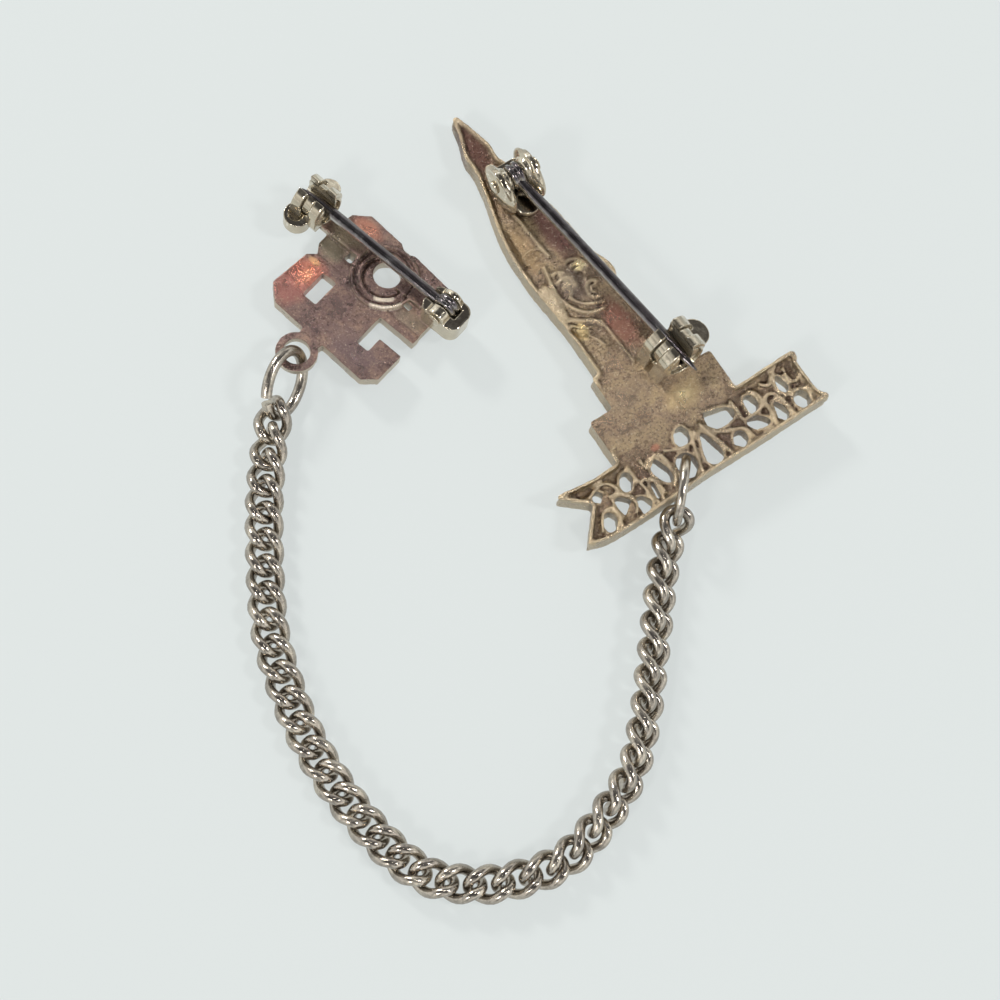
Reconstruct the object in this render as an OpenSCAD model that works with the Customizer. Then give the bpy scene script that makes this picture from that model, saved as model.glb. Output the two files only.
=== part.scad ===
// A cast badge pin and its small guard pin, joined by a curb chain.
// The set lies face down with both pin backs showing: a tapering tower on a stepped base and a
// pierced banner, and a chamfered plate with an eyelet. Each pin has a hinged stem and a
// turning safety catch. Millimetres, +Z up, origin on the table under the middle of the set.

/* [Badge] */
// Thickness of the cast badge
badge_t = 1.9; // [1.6:0.1:2.2]
// Depth of the raised and sunk relief on the back of the badge
relief_h = 0.22; // [0.1:0.02:0.3]
// Width of the lower step of the base
base_w = 10.2; // [9:0.1:11]
// Width of the upper step of the base
step_w = 6.8; // [6.4:0.1:8]
// Turn of the badge on the table, in degrees
badge_turn = 32.6; // [28:0.2:36]

/* [Banner] */
// Length of the banner between its outer tips
banner_l = 20.2; // [19.6:0.1:20.6]
// Height of the banner
banner_w = 4.3; // [4.2:0.05:4.5]
// Depth of the swallow tail
tail_in = 1.9; // [1.2:0.1:2]

/* [Guard] */
// Thickness of the guard plate
guard_t = 1.0; // [0.9:0.05:1.2]
// Outer diameter of the eyelet
eyelet_d = 3.0; // [2.8:0.05:3.1]
// Hole in the eyelet
eyelet_hole = 1.9; // [1.8:0.05:2.0]
// Turn of the guard pin on the table, in degrees
guard_turn = -40; // [-44:1:-36]

/* [Pin findings] */
// Diameter of a pin stem
stem_d = 0.85; // [0.7:0.05:0.9]
// Height of the badge stem above the badge
badge_pin_h = 1.7; // [1.7:0.05:2.0]
// Height of the guard stem above the guard plate
guard_pin_h = 1.6; // [1.55:0.05:1.8]
// Gap all round between a rotor and its housing
rotor_gap = 0.05; // [0.03:0.01:0.08]
// Diameter of a rivet
rivet_d = 0.72; // [0.6:0.02:0.8]

/* [Chain] */
// Number of links
chain_links = 38; // [38]
// Outer length of a link
link_l = 3.56; // [3.5:0.02:3.6]
// Outer width of a link
link_w = 2.7; // [2.6:0.02:2.76]
// Wire of a link
link_d = 0.7; // [0.6:0.02:0.7]
// Twist of a link from its middle to each end, in degrees
link_twist = -50; // [-55:1:-45]
// Wire of the guard's jump ring
guard_ring_d = 0.8; // [0.7:0.02:0.82]
// Wire of the badge's jump ring
badge_ring_d = 0.66; // [0.6:0.02:0.7]

/* [Hidden] */
$fn = 48;
TABLE_GAP = 0.02;   // the loose links clear the table by this much
WIRE_SIDES = 6;
LINK_STEPS = 16;
link_r = link_d / 2;
guard_ring_r = guard_ring_d / 2;
badge_ring_r = badge_ring_d / 2;
stem_r = stem_d / 2;
rivet_r = rivet_d / 2;

// Places on the table: the foot of the banner's middle, and the middle of the guard plate
BADGE_AT = [11.79, 1.45];
GUARD_AT = [-11.76, 14.9];

// The tower's sides, upwards from the base: height, left edge, right edge
TOWER_ROWS = [
    [9.0, -2.70, 3.20],
    [12.0, -2.70, 2.95],
    [14.0, -2.75, 2.62],
    [15.1, -2.85, 2.48],
    [16.1, -2.95, 2.80],
    [17.1, -3.05, 2.58],
    [18.0, -3.12, 2.20],
    [20.1, -3.15, 1.95],
    [21.7, -3.00, 1.72],
    [23.4, -2.68, 1.38],
    [25.2, -2.22, 1.04],
    [26.7, -1.90, 0.70],
    [27.6, -1.76, 0.32],
    [28.6, -1.84, 0.40],
    [29.5, -1.60, 0.20],
    [30.5, -1.25, -0.05],
    [31.5, -1.05, -0.38]
];
TIP_Y = 31.9;
TIP_R = 0.3;
TIP_X = -0.72;
STEP_Y = 10.05;
BASE_Y = 7.4;
BASE_MID = -0.05;
// The foot of the banner, from its left tip to its right tip
FOOT_POINTS = [[-10.05, 0.05], [-8.6, -0.38], [-6.2, -0.45], [-3.4, -0.32], [-0.5, -0.15], [4.0, -0.1]];

// The banner's piercings: middle x, middle y, width, height, turn, shape (0 slot, 1 triangle)
PIERCINGS = [
    [-7.35, 2.95, 0.70, 0.75, 0, 0],
    [-7.55, 1.15, 1.05, 1.20, 0, 1],
    [-6.15, 1.35, 0.62, 1.00, 0, 0],
    [-5.95, 3.15, 0.50, 0.56, 0, 0],
    [-5.00, 2.80, 0.75, 0.95, 0, 0],
    [-4.85, 1.00, 0.90, 1.10, 0, 1],
    [-3.85, 1.00, 0.40, 1.05, 0, 0],
    [-2.70, 2.35, 0.75, 1.60, 0, 0],
    [-0.95, 1.35, 1.30, 1.60, -20, 0],
    [0.15, 3.35, 0.70, 0.80, 0, 0],
    [1.25, 1.60, 1.60, 2.10, 0, 1],
    [3.00, 3.10, 1.60, 1.15, 180, 1],
    [3.35, 1.00, 0.80, 0.85, 0, 0],
    [5.35, 2.80, 1.20, 0.66, 0, 0],
    [5.20, 1.30, 1.30, 0.70, 0, 0],
    [7.05, 1.60, 0.70, 1.50, 180, 1],
    [8.15, 3.05, 0.58, 1.20, 0, 0],
    [8.80, 1.20, 0.70, 0.90, 0, 0]
];

// Badge findings, in the badge's own frame: hinge, tip of the stem, catch
BADGE_HINGE = [0.08, 25.1];
BADGE_TIP = [2.85, 6.15];
BADGE_CATCH_Y = 8.5;
CATCH_TURN = 3;
SINK = 0.2;         // what is soldered on reaches this far into its plate
badge_stem_v = BADGE_TIP - BADGE_HINGE;
badge_stem_l = norm(badge_stem_v);
badge_stem_turn = atan2(badge_stem_v.x, -badge_stem_v.y);
badge_catch_x = BADGE_HINGE.x + badge_stem_v.x * (BADGE_HINGE.y - BADGE_CATCH_Y) / -badge_stem_v.y;
badge_z = badge_t + badge_pin_h;

// Joint housing of the badge
JOINT_W = 3.0;
JOINT_L = 3.4;
CHEEK_T = 0.42;
CHEEK_TOP = 1.3;
EYE_R = 0.95;
EYE_W = 1.0;

// Guard findings, in the guard's own frame, where the stem runs along x
GUARD_PIN_Y = 1.75;
GUARD_HINGE_X = 5.1;
GUARD_CATCH_X = -6.95;
GUARD_TIP_X = -8.3;
guard_z = guard_t + guard_pin_h;
EYELET_AT = [-0.75, -7.35];
EYELET_CUT = 0.4;
// The raised ring round the hole, and the ear beside the catch
RING_AT = [0.1, 1.1];
RING_IN = 1.75;
RING_OUT = 2.3;
RING_H = 0.18;
EAR_AT = [-7.35, 0.2];
EAR_R = 1.0;
EAR_H = 1.2;
TONGUE_W = 1.66;
TONGUE_T = 0.4;
BOX_LOW = [3.6, 0.35];
BOX_HIGH = [6.9, 2.75];
BOX_SLOT = 1.0;

// Safety catches: housing radius, length, reach of the thumb wing
badge_catch = [1.85, 2.5, 1.1];
guard_catch = [1.5, 2.3, 0.75];
RIM_T = 0.52;
GROOVE_W = 0.8;
FLANGE_W = 0.68;
FLANGE_IN = 0.26;
MOUTH_W = 1.16;
WING_T = 0.8;
WING_R = 1.1;
FOOT_OUT = 0.45;    // flare of the badge catch's foot
FOOT_IN = 0.3;      // the walls under a housing stand this far in from its sides
WING_DROP = 18;     // the thumb wing points this far below the level

// The set rests on the flame's tip, the ring under the banner, the guard's far edge and its ring
BADGE_TILT = 2.0;
GUARD_TILT = 7;
GUARD_EDGE_Y = 4.2;

// The chain's way over the table, from the guard pin round to the badge
CHAIN_ROUTE = [
    [-18.5, 5.19], [-18.89, 1.6], [-18.96, -2.2], [-18.61, -8], [-17.81, -11.8], [-15.71, -17],
    [-12.41, -21.9], [-8.41, -25.7], [-4.91, -26.7], [-1.21, -26.3], [2.29, -24.6], [5.69, -20.2],
    [6.99, -16.5], [7.79, -11.3], [8.29, -7.3], [8.79, -4.15], [9.37, -2.37]
];
// Roll of the chain about its own way: number of the link, degrees
CHAIN_ROLL = [[1, 12.4], [2, 31], [5, 0], [21, 0], [29, 60], [37, 60], [38, 55.1]];
// The end links hang from their rings: number of the link, extra height or degrees of tilt
CHAIN_RISE = [[1, 0.245], [2, 0], [37, 0], [38, 0.261]];
CHAIN_TILT = [[1, -7.2], [2, 0], [37, 0], [38, 24.6]];

// Jump rings: middle, half length and half width of the centre line, way, roll and dip in degrees
BADGE_RING = [[9.87, 0.265, 2.275], 2.233, 1.912, 260.7, 93.0, -4.4];
GUARD_RING = [[-17.73, 7.73, 1.91], 2.348, 1.686, 252.9, 123.1, 14.7];
RING_STEPS = 24;
GUARD_RING_OPEN = 20;   // the guard's ring has a narrow gap, at this turn along its centre line
GUARD_RING_CUT = 50;

function link_name(i) = str("link_", i < 10 ? "0" : "", i);
LINK_NAMES = [for (i = [1 : chain_links]) link_name(i)];

function unit(v) = v / norm(v);

// A point of the smooth curve through the points p, at t between p[i] and p[i + 1]
function curve_at(p, i, t) =
    let (a = i > 0 ? p[i - 1] : 2 * p[0] - p[1],
         b = p[i],
         c = p[i + 1],
         d = i + 2 < len(p) ? p[i + 2] : 2 * p[i + 1] - p[i])
    (2 * b + (c - a) * t + (2 * a - 5 * b + 4 * c - d) * t * t
     + (3 * b - a - 3 * c + d) * t * t * t) / 2;

function smooth(p, steps) =
    concat([for (i = [0 : len(p) - 2]) for (k = [0 : steps - 1]) curve_at(p, i, k / steps)],
           [p[len(p) - 1]]);

route_points = smooth(CHAIN_ROUTE, 24);
route_length = [
    for (i = 0, s = 0; i < len(route_points);
         s = s + (i + 1 < len(route_points) ? norm(route_points[i + 1] - route_points[i]) : 0),
         i = i + 1) s
];
route_x = [for (i = [0 : len(route_points) - 1]) [route_length[i], route_points[i].x]];
route_y = [for (i = [0 : len(route_points) - 1]) [route_length[i], route_points[i].y]];
link_pitch = route_length[len(route_length) - 1] / (chain_links - 1);

function on_route(s) = [lookup(s, route_x), lookup(s, route_y)];

function turned_z(p, a) = [p.x * cos(a) - p.y * sin(a), p.x * sin(a) + p.y * cos(a), p.z];

// Centre line of one twisted link, laid along its stretch of the route
function link_flat(i) =
    let (a = (link_l - link_d) / 2,
         b = (link_w - link_d) / 2,
         roll = lookup(i, CHAIN_ROLL))
    [for (k = [0 : LINK_STEPS - 1])
        let (t = (k + 0.5) * 360 / LINK_STEPS,
             x = a * sign(cos(t)) * pow(abs(cos(t)), 0.8),
             y = b * sign(sin(t)) * pow(abs(sin(t)), 0.8),
             turn = roll + link_twist * sin(90 * x / a))
        [x, y * cos(turn), y * sin(turn), turn]];

function link_path(i) =
    let (flat = link_flat(i),
         s = (i - 1) * link_pitch,
         ahead = on_route(s + 0.3),
         behind = on_route(s - 0.3),
         way = atan2(ahead.y - behind.y, ahead.x - behind.x),
         low = min([for (p = flat) p.z]),
         lift = link_r * 1.05 + TABLE_GAP - low + lookup(i, CHAIN_RISE),
         tilt = lookup(i, CHAIN_TILT),
         at = on_route(s))
    [for (p = flat)
        turned_z([p.x * cos(tilt) - p.z * sin(tilt), p.y, p.x * sin(tilt) + p.z * cos(tilt)], way)
        + [at.x, at.y, lift]];

// Facing of the wire's section at each point: the normal of the twisted band
function link_facing(i) =
    let (s = (i - 1) * link_pitch,
         ahead = on_route(s + 0.3),
         behind = on_route(s - 0.3),
         way = atan2(ahead.y - behind.y, ahead.x - behind.x))
    [for (p = link_flat(i)) turned_z([0, -sin(p[3]), cos(p[3])], way)];

// Jump rings are ovals, rolled and dipped so that they pass through what they join
function ring_turn(ring, p) =
    let (roll = ring[4],
         dip = ring[5],
         r = [p.x, p.y * cos(roll) - p.z * sin(roll), p.y * sin(roll) + p.z * cos(roll)])
    turned_z([r.x * cos(dip) + r.z * sin(dip), r.y, r.z * cos(dip) - r.x * sin(dip)], ring[3]);

// Points of a ring's centre line at the turns given
function ring_path(ring, turns) =
    [for (t = turns) ring_turn(ring, [ring[1] * cos(t), ring[2] * sin(t), 0]) + ring[0]];

// A wire of six sides along the points of path, its section set by the facing vectors
module wire(path, facing, r, closed) {
    n = len(path);
    sections = [for (i = [0 : n - 1])
        let (after = closed ? path[(i + 1) % n] : path[min(i + 1, n - 1)],
             before = closed ? path[(i + n - 1) % n] : path[max(i - 1, 0)],
             along = unit(after - before),
             side = unit(cross(along, facing[i])),
             up = cross(side, along))
        [for (k = [0 : WIRE_SIDES - 1])
            path[i] + r * 1.05 * (cos(k * 360 / WIRE_SIDES) * side + sin(k * 360 / WIRE_SIDES) * up)]];
    spans = closed ? n : n - 1;
    walls = [for (i = [0 : spans - 1]) for (k = [0 : WIRE_SIDES - 1])
        let (a = i * WIRE_SIDES + k,
             b = i * WIRE_SIDES + (k + 1) % WIRE_SIDES,
             c = ((i + 1) % n) * WIRE_SIDES + (k + 1) % WIRE_SIDES,
             d = ((i + 1) % n) * WIRE_SIDES + k)
        each [[a, b, c], [a, c, d]]];
    caps = closed ? [] : [
        [for (k = [WIRE_SIDES - 1 : -1 : 0]) k],
        [for (k = [0 : WIRE_SIDES - 1]) (n - 1) * WIRE_SIDES + k]];
    polyhedron(points = [for (s = sections) each s], faces = concat(walls, caps), convexity = 6);
}

module chain_link(i) {
    color("dimgray") wire(link_path(i), link_facing(i), link_r, true);
}

module badge_frame() {
    translate([BADGE_AT.x, BADGE_AT.y, 0]) rotate([0, 0, badge_turn])
        translate([0, TIP_Y, 0]) rotate([-BADGE_TILT, 0, 0]) translate([0, -TIP_Y, 0]) children();
}

module guard_frame() {
    translate([GUARD_AT.x, GUARD_AT.y, 0]) rotate([0, 0, guard_turn])
        translate([0, GUARD_EDGE_Y, 0]) rotate([-GUARD_TILT, 0, 0])
            translate([0, -GUARD_EDGE_Y, 0]) children();
}

// A rectangle from a low to a high corner with round corners
module round_box(low, high, r) {
    translate([low.x + r, low.y]) square([high.x - low.x - 2 * r, high.y - low.y]);
    translate([low.x, low.y + r]) square([high.x - low.x, high.y - low.y - 2 * r]);
    for (x = [low.x + r, high.x - r]) for (y = [low.y + r, high.y - r])
        translate([x, y]) circle(r);
}

// A slot with round ends, along its longer side
module slot(w, h) {
    r = min(w, h) / 2;
    dx = w / 2 - r;
    dy = h / 2 - r;
    for (s = [-1, 1]) translate([s * dx, s * dy]) circle(r);
    square([w > h ? 2 * dx : 2 * r, w > h ? 2 * r : 2 * dy], center = true);
}

module piercing(w, h, kind) {
    if (kind == 1)
        polygon([[-w / 2, -h / 2], [w / 2, -h / 2], [0.12, h / 2], [-0.12, h / 2]]);
    else
        slot(w, h);
}

module banner_outline() {
    left = -banner_l / 2;
    right = banner_l / 2 + 0.1;
    difference() {
        polygon(concat(smooth(FOOT_POINTS, 3), [
            [right - 0.05, 0.05], [right, 0.25], [right - 0.38, 1.0], [right - 0.45, banner_w - 0.9],
            [right - 0.15, banner_w - 0.25], [right - 0.4, banner_w], [5.0, banner_w - 0.1],
            [-5.0, banner_w - 0.4], [-7.2, banner_w - 0.45], [left + 0.3, banner_w - 0.15],
            [left, banner_w - 0.4], [left + tail_in, banner_w / 2 + 0.15]]));
        for (p = PIERCINGS)
            translate([p[0], p[1]]) rotate(p[4]) piercing(p[2], p[3], p[5]);
    }
}

module tower_outline() {
    left = smooth([for (r = TOWER_ROWS) [r[1], r[0]]], 2);
    right = smooth([for (r = TOWER_ROWS) [r[2], r[0]]], 2);
    polygon(concat([for (i = [len(left) - 1 : -1 : 0]) left[i]], right));
    translate([TIP_X, TIP_Y - TIP_R]) circle(TIP_R);
}

module badge_outline() {
    tower_outline();
    round_box([0.2 + BASE_MID - step_w / 2, BASE_Y - 1], [0.2 + BASE_MID + step_w / 2, STEP_Y], 0.25);
    round_box([BASE_MID - base_w / 2, banner_w - 0.9], [BASE_MID + base_w / 2, BASE_Y], 0.25);
    banner_outline();
}

// A straight ridge on the back of the badge
module ridge(from, to, w) {
    v = to - from;
    translate(from) rotate(atan2(v.y, v.x)) translate([0, -w / 2]) square([norm(v), w]);
}

module badge_relief_up() {
    ridge([-1.25, 22.6], [-0.8, 19.1], 0.2);
    ridge([-0.45, 13.9], [-0.05, 10.3], 0.2);
    difference() {
        translate([-0.1, 16.7]) circle(1.85);
        translate([0.15, 16.5]) circle(1.3);
    }
    difference() {
        translate([0.5, 15.7]) circle(0.72);
        translate([0.5, 15.7]) circle(0.4);
    }
    polygon([[-2.7, 17.5], [-1.8, 17.0], [-1.9, 15.6], [-0.4, 14.1], [-2.55, 14.9]]);
}

module badge_relief_down() {
    polygon([[-2.6, 19.3], [-1.2, 19.3], [-1.5, 22.8], [-2.3, 22.8]]);
    intersection() {
        translate([-2.9, 11.6]) circle(2.3);
        translate([-0.6, 14.7]) circle(2.3);
    }
}

// Two cheeks on a floor, with their rivet holes, about the hinge at the origin
module ball_joint(h) {
    difference() {
        union() {
            translate([-JOINT_W / 2, -JOINT_L / 2, -h - 0.3]) cube([JOINT_W, JOINT_L, 0.65]);
            translate([0, -JOINT_L / 2, -h - 0.3]) cylinder(r = 0.95, h = 0.55);
            for (s = [-1, 1])
                translate([s * (JOINT_W - CHEEK_T) / 2 - CHEEK_T / 2, 0, 0])
                    rotate([90, 0, 90]) linear_extrude(CHEEK_T) {
                        circle(CHEEK_TOP);
                        polygon([[-JOINT_L / 2, -h - 0.2], [JOINT_L / 2, -h - 0.2],
                                 [CHEEK_TOP - 0.03, 0.3], [0.03 - CHEEK_TOP, 0.3]]);
                    }
            for (s = [-1, 1])
                translate([s * (JOINT_W / 2 - CHEEK_T / 2), 0, 0]) rotate([0, -90 * s, 0])
                    cylinder(r = 0.68, h = (JOINT_W - EYE_W) / 2 - CHEEK_T / 2 - 0.05);
        }
        rotate([0, 90, 0]) cylinder(r = rivet_r + 0.02, h = 2 * JOINT_W, center = true);
    }
}

module rivet(width) {
    rotate([0, 90, 0]) cylinder(r = rivet_r, h = width + 0.1, center = true);
    for (s = [-1, 1])
        translate([s * (width / 2 + 0.03), 0, 0]) rotate([0, 90 * s, 0])
            cylinder(r1 = rivet_r + 0.18, r2 = rivet_r, h = 0.16);
}

// The stem with its eye at the origin and its point along -Y
module stem(length, eye_w, turn) {
    difference() {
        union() {
            rotate([0, 90, 0]) cylinder(r = EYE_R, h = eye_w, center = true);
            rotate([0, 0, turn]) rotate([90, 0, 0]) rotate_extrude()
                polygon([[0, 0.3], [stem_r, 0.3], [stem_r, length - 2.4],
                         [stem_r * 0.5, length - 0.7], [0.06, length], [0, length]]);
        }
        rotate([0, 90, 0]) cylinder(r = rivet_r + 0.04, h = 2 * eye_w + 2, center = true);
    }
}

// A catch housing about the stem's line along Y: two rims with a groove between them and a
// mouth along the top, on a foot that reaches down by h
module catch_housing(size, h) {
    r = size[0];
    l = size[1];
    foot = r - FOOT_IN;
    difference() {
        union() {
            rotate([90, 0, 0]) cylinder(r = r, h = l, center = true);
            translate([-foot, -l / 2, -h - SINK]) cube([2 * foot, l, h + SINK]);
        }
        rotate([90, 0, 0]) cylinder(r = r - RIM_T, h = l + 1, center = true);
        rotate([90, 0, 0]) cylinder(r = r - FLANGE_IN + 0.08, h = GROOVE_W, center = true);
        translate([-r - 1, -GROOVE_W / 2, -r * 0.66]) cube([2 * r + 2, GROOVE_W, 2 * r]);
        translate([-MOUTH_W / 2, -l, 0]) cube([MOUTH_W, 2 * l, r + 1]);
    }
}

// The flare at the left foot of the badge's housing
module foot_flare(size, h) {
    foot = size[0] - FOOT_IN;
    rotate([90, 0, 0]) linear_extrude(size[1], center = true)
        polygon([[-foot - FOOT_OUT, -h - SINK], [-foot, 0.8 - h], [0.2 - foot, -h - SINK]]);
}

// The rotor: a drum with a flange and a thumb wing towards +X, slotted for the stem
module catch_rotor(size) {
    r = size[0];
    l = size[1];
    wing_x = r + size[2] - WING_R;
    difference() {
        union() {
            rotate([90, 0, 0]) cylinder(r = r - RIM_T - rotor_gap, h = l + 0.1, center = true);
            rotate([90, 0, 0]) cylinder(r = r - FLANGE_IN, h = FLANGE_W, center = true);
            rotate([0, WING_DROP, 0]) {
                translate([r - 0.9, -FLANGE_W / 2, -WING_T / 2]) cube([1.2, FLANGE_W, WING_T]);
                difference() {
                    translate([wing_x, 0, -WING_T / 2]) cylinder(r = WING_R, h = WING_T);
                    rotate([90, 0, 0]) cylinder(r = r + 0.12, h = 2 * l, center = true);
                    translate([-5, -5, -5]) cube([5, 10, 10]);
                }
            }
        }
        rotate([90, 0, 0]) cylinder(d = MOUTH_W, h = 2 * l, center = true);
        translate([-MOUTH_W / 2, -l, 0]) cube([MOUTH_W, 2 * l, r]);
    }
}

module badge_plate() {
    color("darkgoldenrod") badge_frame() {
        difference() {
            union() {
                linear_extrude(badge_t) badge_outline();
                linear_extrude(badge_t + relief_h) badge_relief_up();
                translate([BADGE_HINGE.x, BADGE_HINGE.y, badge_z]) ball_joint(badge_pin_h);
                translate([badge_catch_x, BADGE_CATCH_Y, badge_z]) rotate([0, 0, CATCH_TURN]) {
                    catch_housing(badge_catch, badge_pin_h);
                    foot_flare(badge_catch, badge_pin_h);
                }
            }
            translate([0, 0, badge_t - relief_h]) linear_extrude(1) badge_relief_down();
        }
    }
}

module badge_rivet() {
    color("gainsboro") badge_frame() translate([BADGE_HINGE.x, BADGE_HINGE.y, badge_z])
        rivet(JOINT_W);
}

module badge_stem() {
    color("slategray") badge_frame() translate([BADGE_HINGE.x, BADGE_HINGE.y, badge_z])
        stem(badge_stem_l, EYE_W, badge_stem_turn);
}

module badge_catch_rotor() {
    color("khaki") badge_frame() translate([badge_catch_x, BADGE_CATCH_Y, badge_z])
        rotate([0, 0, CATCH_TURN]) catch_rotor(badge_catch);
}

module badge_ring() {
    turns = [for (k = [0 : RING_STEPS - 1]) k * 360 / RING_STEPS];
    facing = [for (t = turns) ring_turn(BADGE_RING, [0, 0, 1])];
    color("dimgray") wire(ring_path(BADGE_RING, turns), facing, badge_ring_r, true);
}

module guard_ring() {
    start = GUARD_RING_CUT + GUARD_RING_OPEN / 2;
    turns = [for (k = [0 : RING_STEPS]) start + k * (360 - GUARD_RING_OPEN) / RING_STEPS];
    facing = [for (t = turns) ring_turn(GUARD_RING, [0, 0, 1])];
    color("dimgray") wire(ring_path(GUARD_RING, turns), facing, guard_ring_r, false);
}

module guard_outline() {
    difference() {
        union() {
            // upper block, with a shallow nick in its top edge
            polygon([[-5.1, 0.0], [-4.7, -0.6], [4.85, -0.6], [4.85, 3.5], [0.6, 3.9], [0.3, 3.72],
                     [-0.3, 3.74], [-0.7, 4.0], [-3.7, 4.2], [-4.8, 3.3], [-5.1, 1.2]]);
            // lower block
            polygon([[-5.2, -1.25], [-4.7, -0.75], [4.9, -0.75], [4.85, -5.1], [3.9, -5.95],
                     [-4.35, -5.55], [-5.5, -4.45]]);
            translate(EYELET_AT) circle(eyelet_d / 2);
            polygon([[-1.7, -5.5], [0.3, -5.7], [0.1, -6.5], [-1.5, -6.5]]);
        }
        // window, hook notch and the small holes
        translate([-3.35, -3.75]) square([1.2, 2.2]);
        polygon([[1.85, -1.4], [6, -1.4], [6, -2.7], [2.9, -2.7], [2.9, -3.95], [1.85, -3.95]]);
        translate([-3.0, 0.3]) square([0.6, 0.6]);
        translate([1.95, 0.35]) square([1.1, 0.4]);
        translate([0.1, 1.4]) circle(1.0);
        translate(EYELET_AT) circle(eyelet_hole / 2);
    }
}

// The guard's joint: a box with a round end and a slot for the eye of the stem
module box_joint() {
    top = guard_pin_h + 0.25;
    eye_room = GUARD_HINGE_X + EYE_R + 0.12;
    difference() {
        linear_extrude(top) round_box(BOX_LOW, BOX_HIGH, 0.8);
        translate([BOX_LOW.x - 1, GUARD_PIN_Y - BOX_SLOT / 2, guard_pin_h - EYE_R - 0.1])
            cube([eye_room - BOX_LOW.x + 1, BOX_SLOT, 5]);
        translate([GUARD_HINGE_X, GUARD_PIN_Y, guard_pin_h]) rotate([90, 0, 0])
            cylinder(r = rivet_r + 0.02, h = 6, center = true);
    }
}

module guard_plate() {
    catch_at = [GUARD_CATCH_X, GUARD_PIN_Y, guard_z];
    color("rosybrown") guard_frame() {
        difference() {
            union() {
                linear_extrude(guard_t) guard_outline();
                translate([0, 0, guard_t - SINK]) linear_extrude(SINK + RING_H) difference() {
                    translate(RING_AT) circle(RING_OUT);
                    translate(RING_AT) circle(RING_IN);
                }
                // the two tongues that the findings stand on
                for (span = [[GUARD_CATCH_X, -2.1], [1.25, BOX_HIGH.x - 0.7]])
                    translate([span[0], GUARD_PIN_Y - TONGUE_W / 2, guard_t - SINK])
                        cube([span[1] - span[0], TONGUE_W, TONGUE_T + SINK]);
                translate([0, 0, guard_t]) box_joint();
                translate(catch_at) rotate([0, 0, 90]) catch_housing(guard_catch, guard_pin_h - SINK);
                translate([EAR_AT.x, EAR_AT.y, guard_t]) cylinder(r = EAR_R, h = EAR_H);
            }
            translate([EAR_AT.x - 0.1, EAR_AT.y - 0.1, guard_t + EAR_H - 0.4]) cylinder(r = 0.5, h = 1);
            translate(catch_at) rotate([0, 90, 0])
                cylinder(r = guard_catch[0] - RIM_T, h = guard_catch[1] + 1, center = true);
            translate(catch_at) rotate([0, 90, 0])
                cylinder(r = guard_catch[0] - FLANGE_IN + 0.08, h = GROOVE_W, center = true);
            // the eyelet is thinner than the plate, on its front
            translate([EYELET_AT.x, EYELET_AT.y - 0.25, -0.1])
                cylinder(r = eyelet_d / 2 + 0.1, h = EYELET_CUT + 0.1);
        }
    }
}

module guard_rivet() {
    color("gainsboro") guard_frame()
        translate([GUARD_HINGE_X, (BOX_LOW.y + BOX_HIGH.y) / 2, guard_z])
            rotate([0, 0, 90]) rivet(BOX_HIGH.y - BOX_LOW.y);
}

module guard_stem() {
    color("slategray") guard_frame() translate([GUARD_HINGE_X, GUARD_PIN_Y, guard_z])
        rotate([0, 0, -90]) stem(GUARD_HINGE_X - GUARD_TIP_X, BOX_SLOT - 0.1, 0);
}

module guard_catch_rotor() {
    color("khaki") guard_frame() translate([GUARD_CATCH_X, GUARD_PIN_Y, guard_z])
        rotate([0, 0, 90]) catch_rotor(guard_catch);
}

badge_plate();
badge_rivet();
badge_stem();
badge_catch_rotor();
badge_ring();
for (i = [1 : chain_links])
    chain_link(i);
guard_ring();
guard_plate();
guard_rivet();
guard_stem();
guard_catch_rotor();
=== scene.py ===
"""Looks of a lapel pin set: a cast badge pin and a small guard pin joined by a curb chain.

The set lies face down, so the backs of both pins show. Every piece is modelled in millimetres in the
frame of its own pin, as on a jeweller's bench, and is then laid on the table in metres.
"""

import logging
import math
from dataclasses import dataclass
from enum import Enum
from typing import Sequence

import bpy
from mathutils import Matrix, Vector
from mathutils.kdtree import KDTree


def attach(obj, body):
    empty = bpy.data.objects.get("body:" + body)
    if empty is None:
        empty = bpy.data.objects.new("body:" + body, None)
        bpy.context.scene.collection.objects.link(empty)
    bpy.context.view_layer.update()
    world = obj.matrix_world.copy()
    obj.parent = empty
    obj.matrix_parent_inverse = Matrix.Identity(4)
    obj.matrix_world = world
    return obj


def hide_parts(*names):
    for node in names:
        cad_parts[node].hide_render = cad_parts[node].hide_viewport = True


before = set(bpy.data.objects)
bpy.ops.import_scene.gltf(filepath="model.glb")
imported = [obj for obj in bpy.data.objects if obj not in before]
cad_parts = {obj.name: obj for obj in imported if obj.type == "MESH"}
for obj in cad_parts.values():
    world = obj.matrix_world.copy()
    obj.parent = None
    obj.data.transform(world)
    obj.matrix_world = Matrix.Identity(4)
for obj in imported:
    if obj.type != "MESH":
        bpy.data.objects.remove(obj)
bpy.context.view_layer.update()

log = logging.getLogger("lapel_pin")

MM = 0.001
SET_BODY = "set"
Point = tuple[float, float, float]
Flat = tuple[float, float]
Colour = tuple[float, float, float]
Piece = bpy.types.Object
Socket = bpy.types.NodeSocket
ORIGIN: Point = (0.0, 0.0, 0.0)
# Size of the faces of a finding's skin, in millimetres
FINDING_GRID = 0.045
# Steepest corner between two faces that is still shaded smooth
SMOOTH_ANGLE = math.radians(50)


class Axis(Enum):
    """The way that a round piece points on the bench."""

    X = (0.0, math.pi / 2, 0.0)
    Y = (math.pi / 2, 0.0, 0.0)
    Z = (0.0, 0.0, 0.0)


class Slot(Enum):
    """The record's material slots."""

    BADGE = "badge_metal"
    GUARD = "guard_metal"
    FINDING = "finding_metal"
    STEM = "stem_steel"
    CHAIN = "chain_metal"


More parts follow.
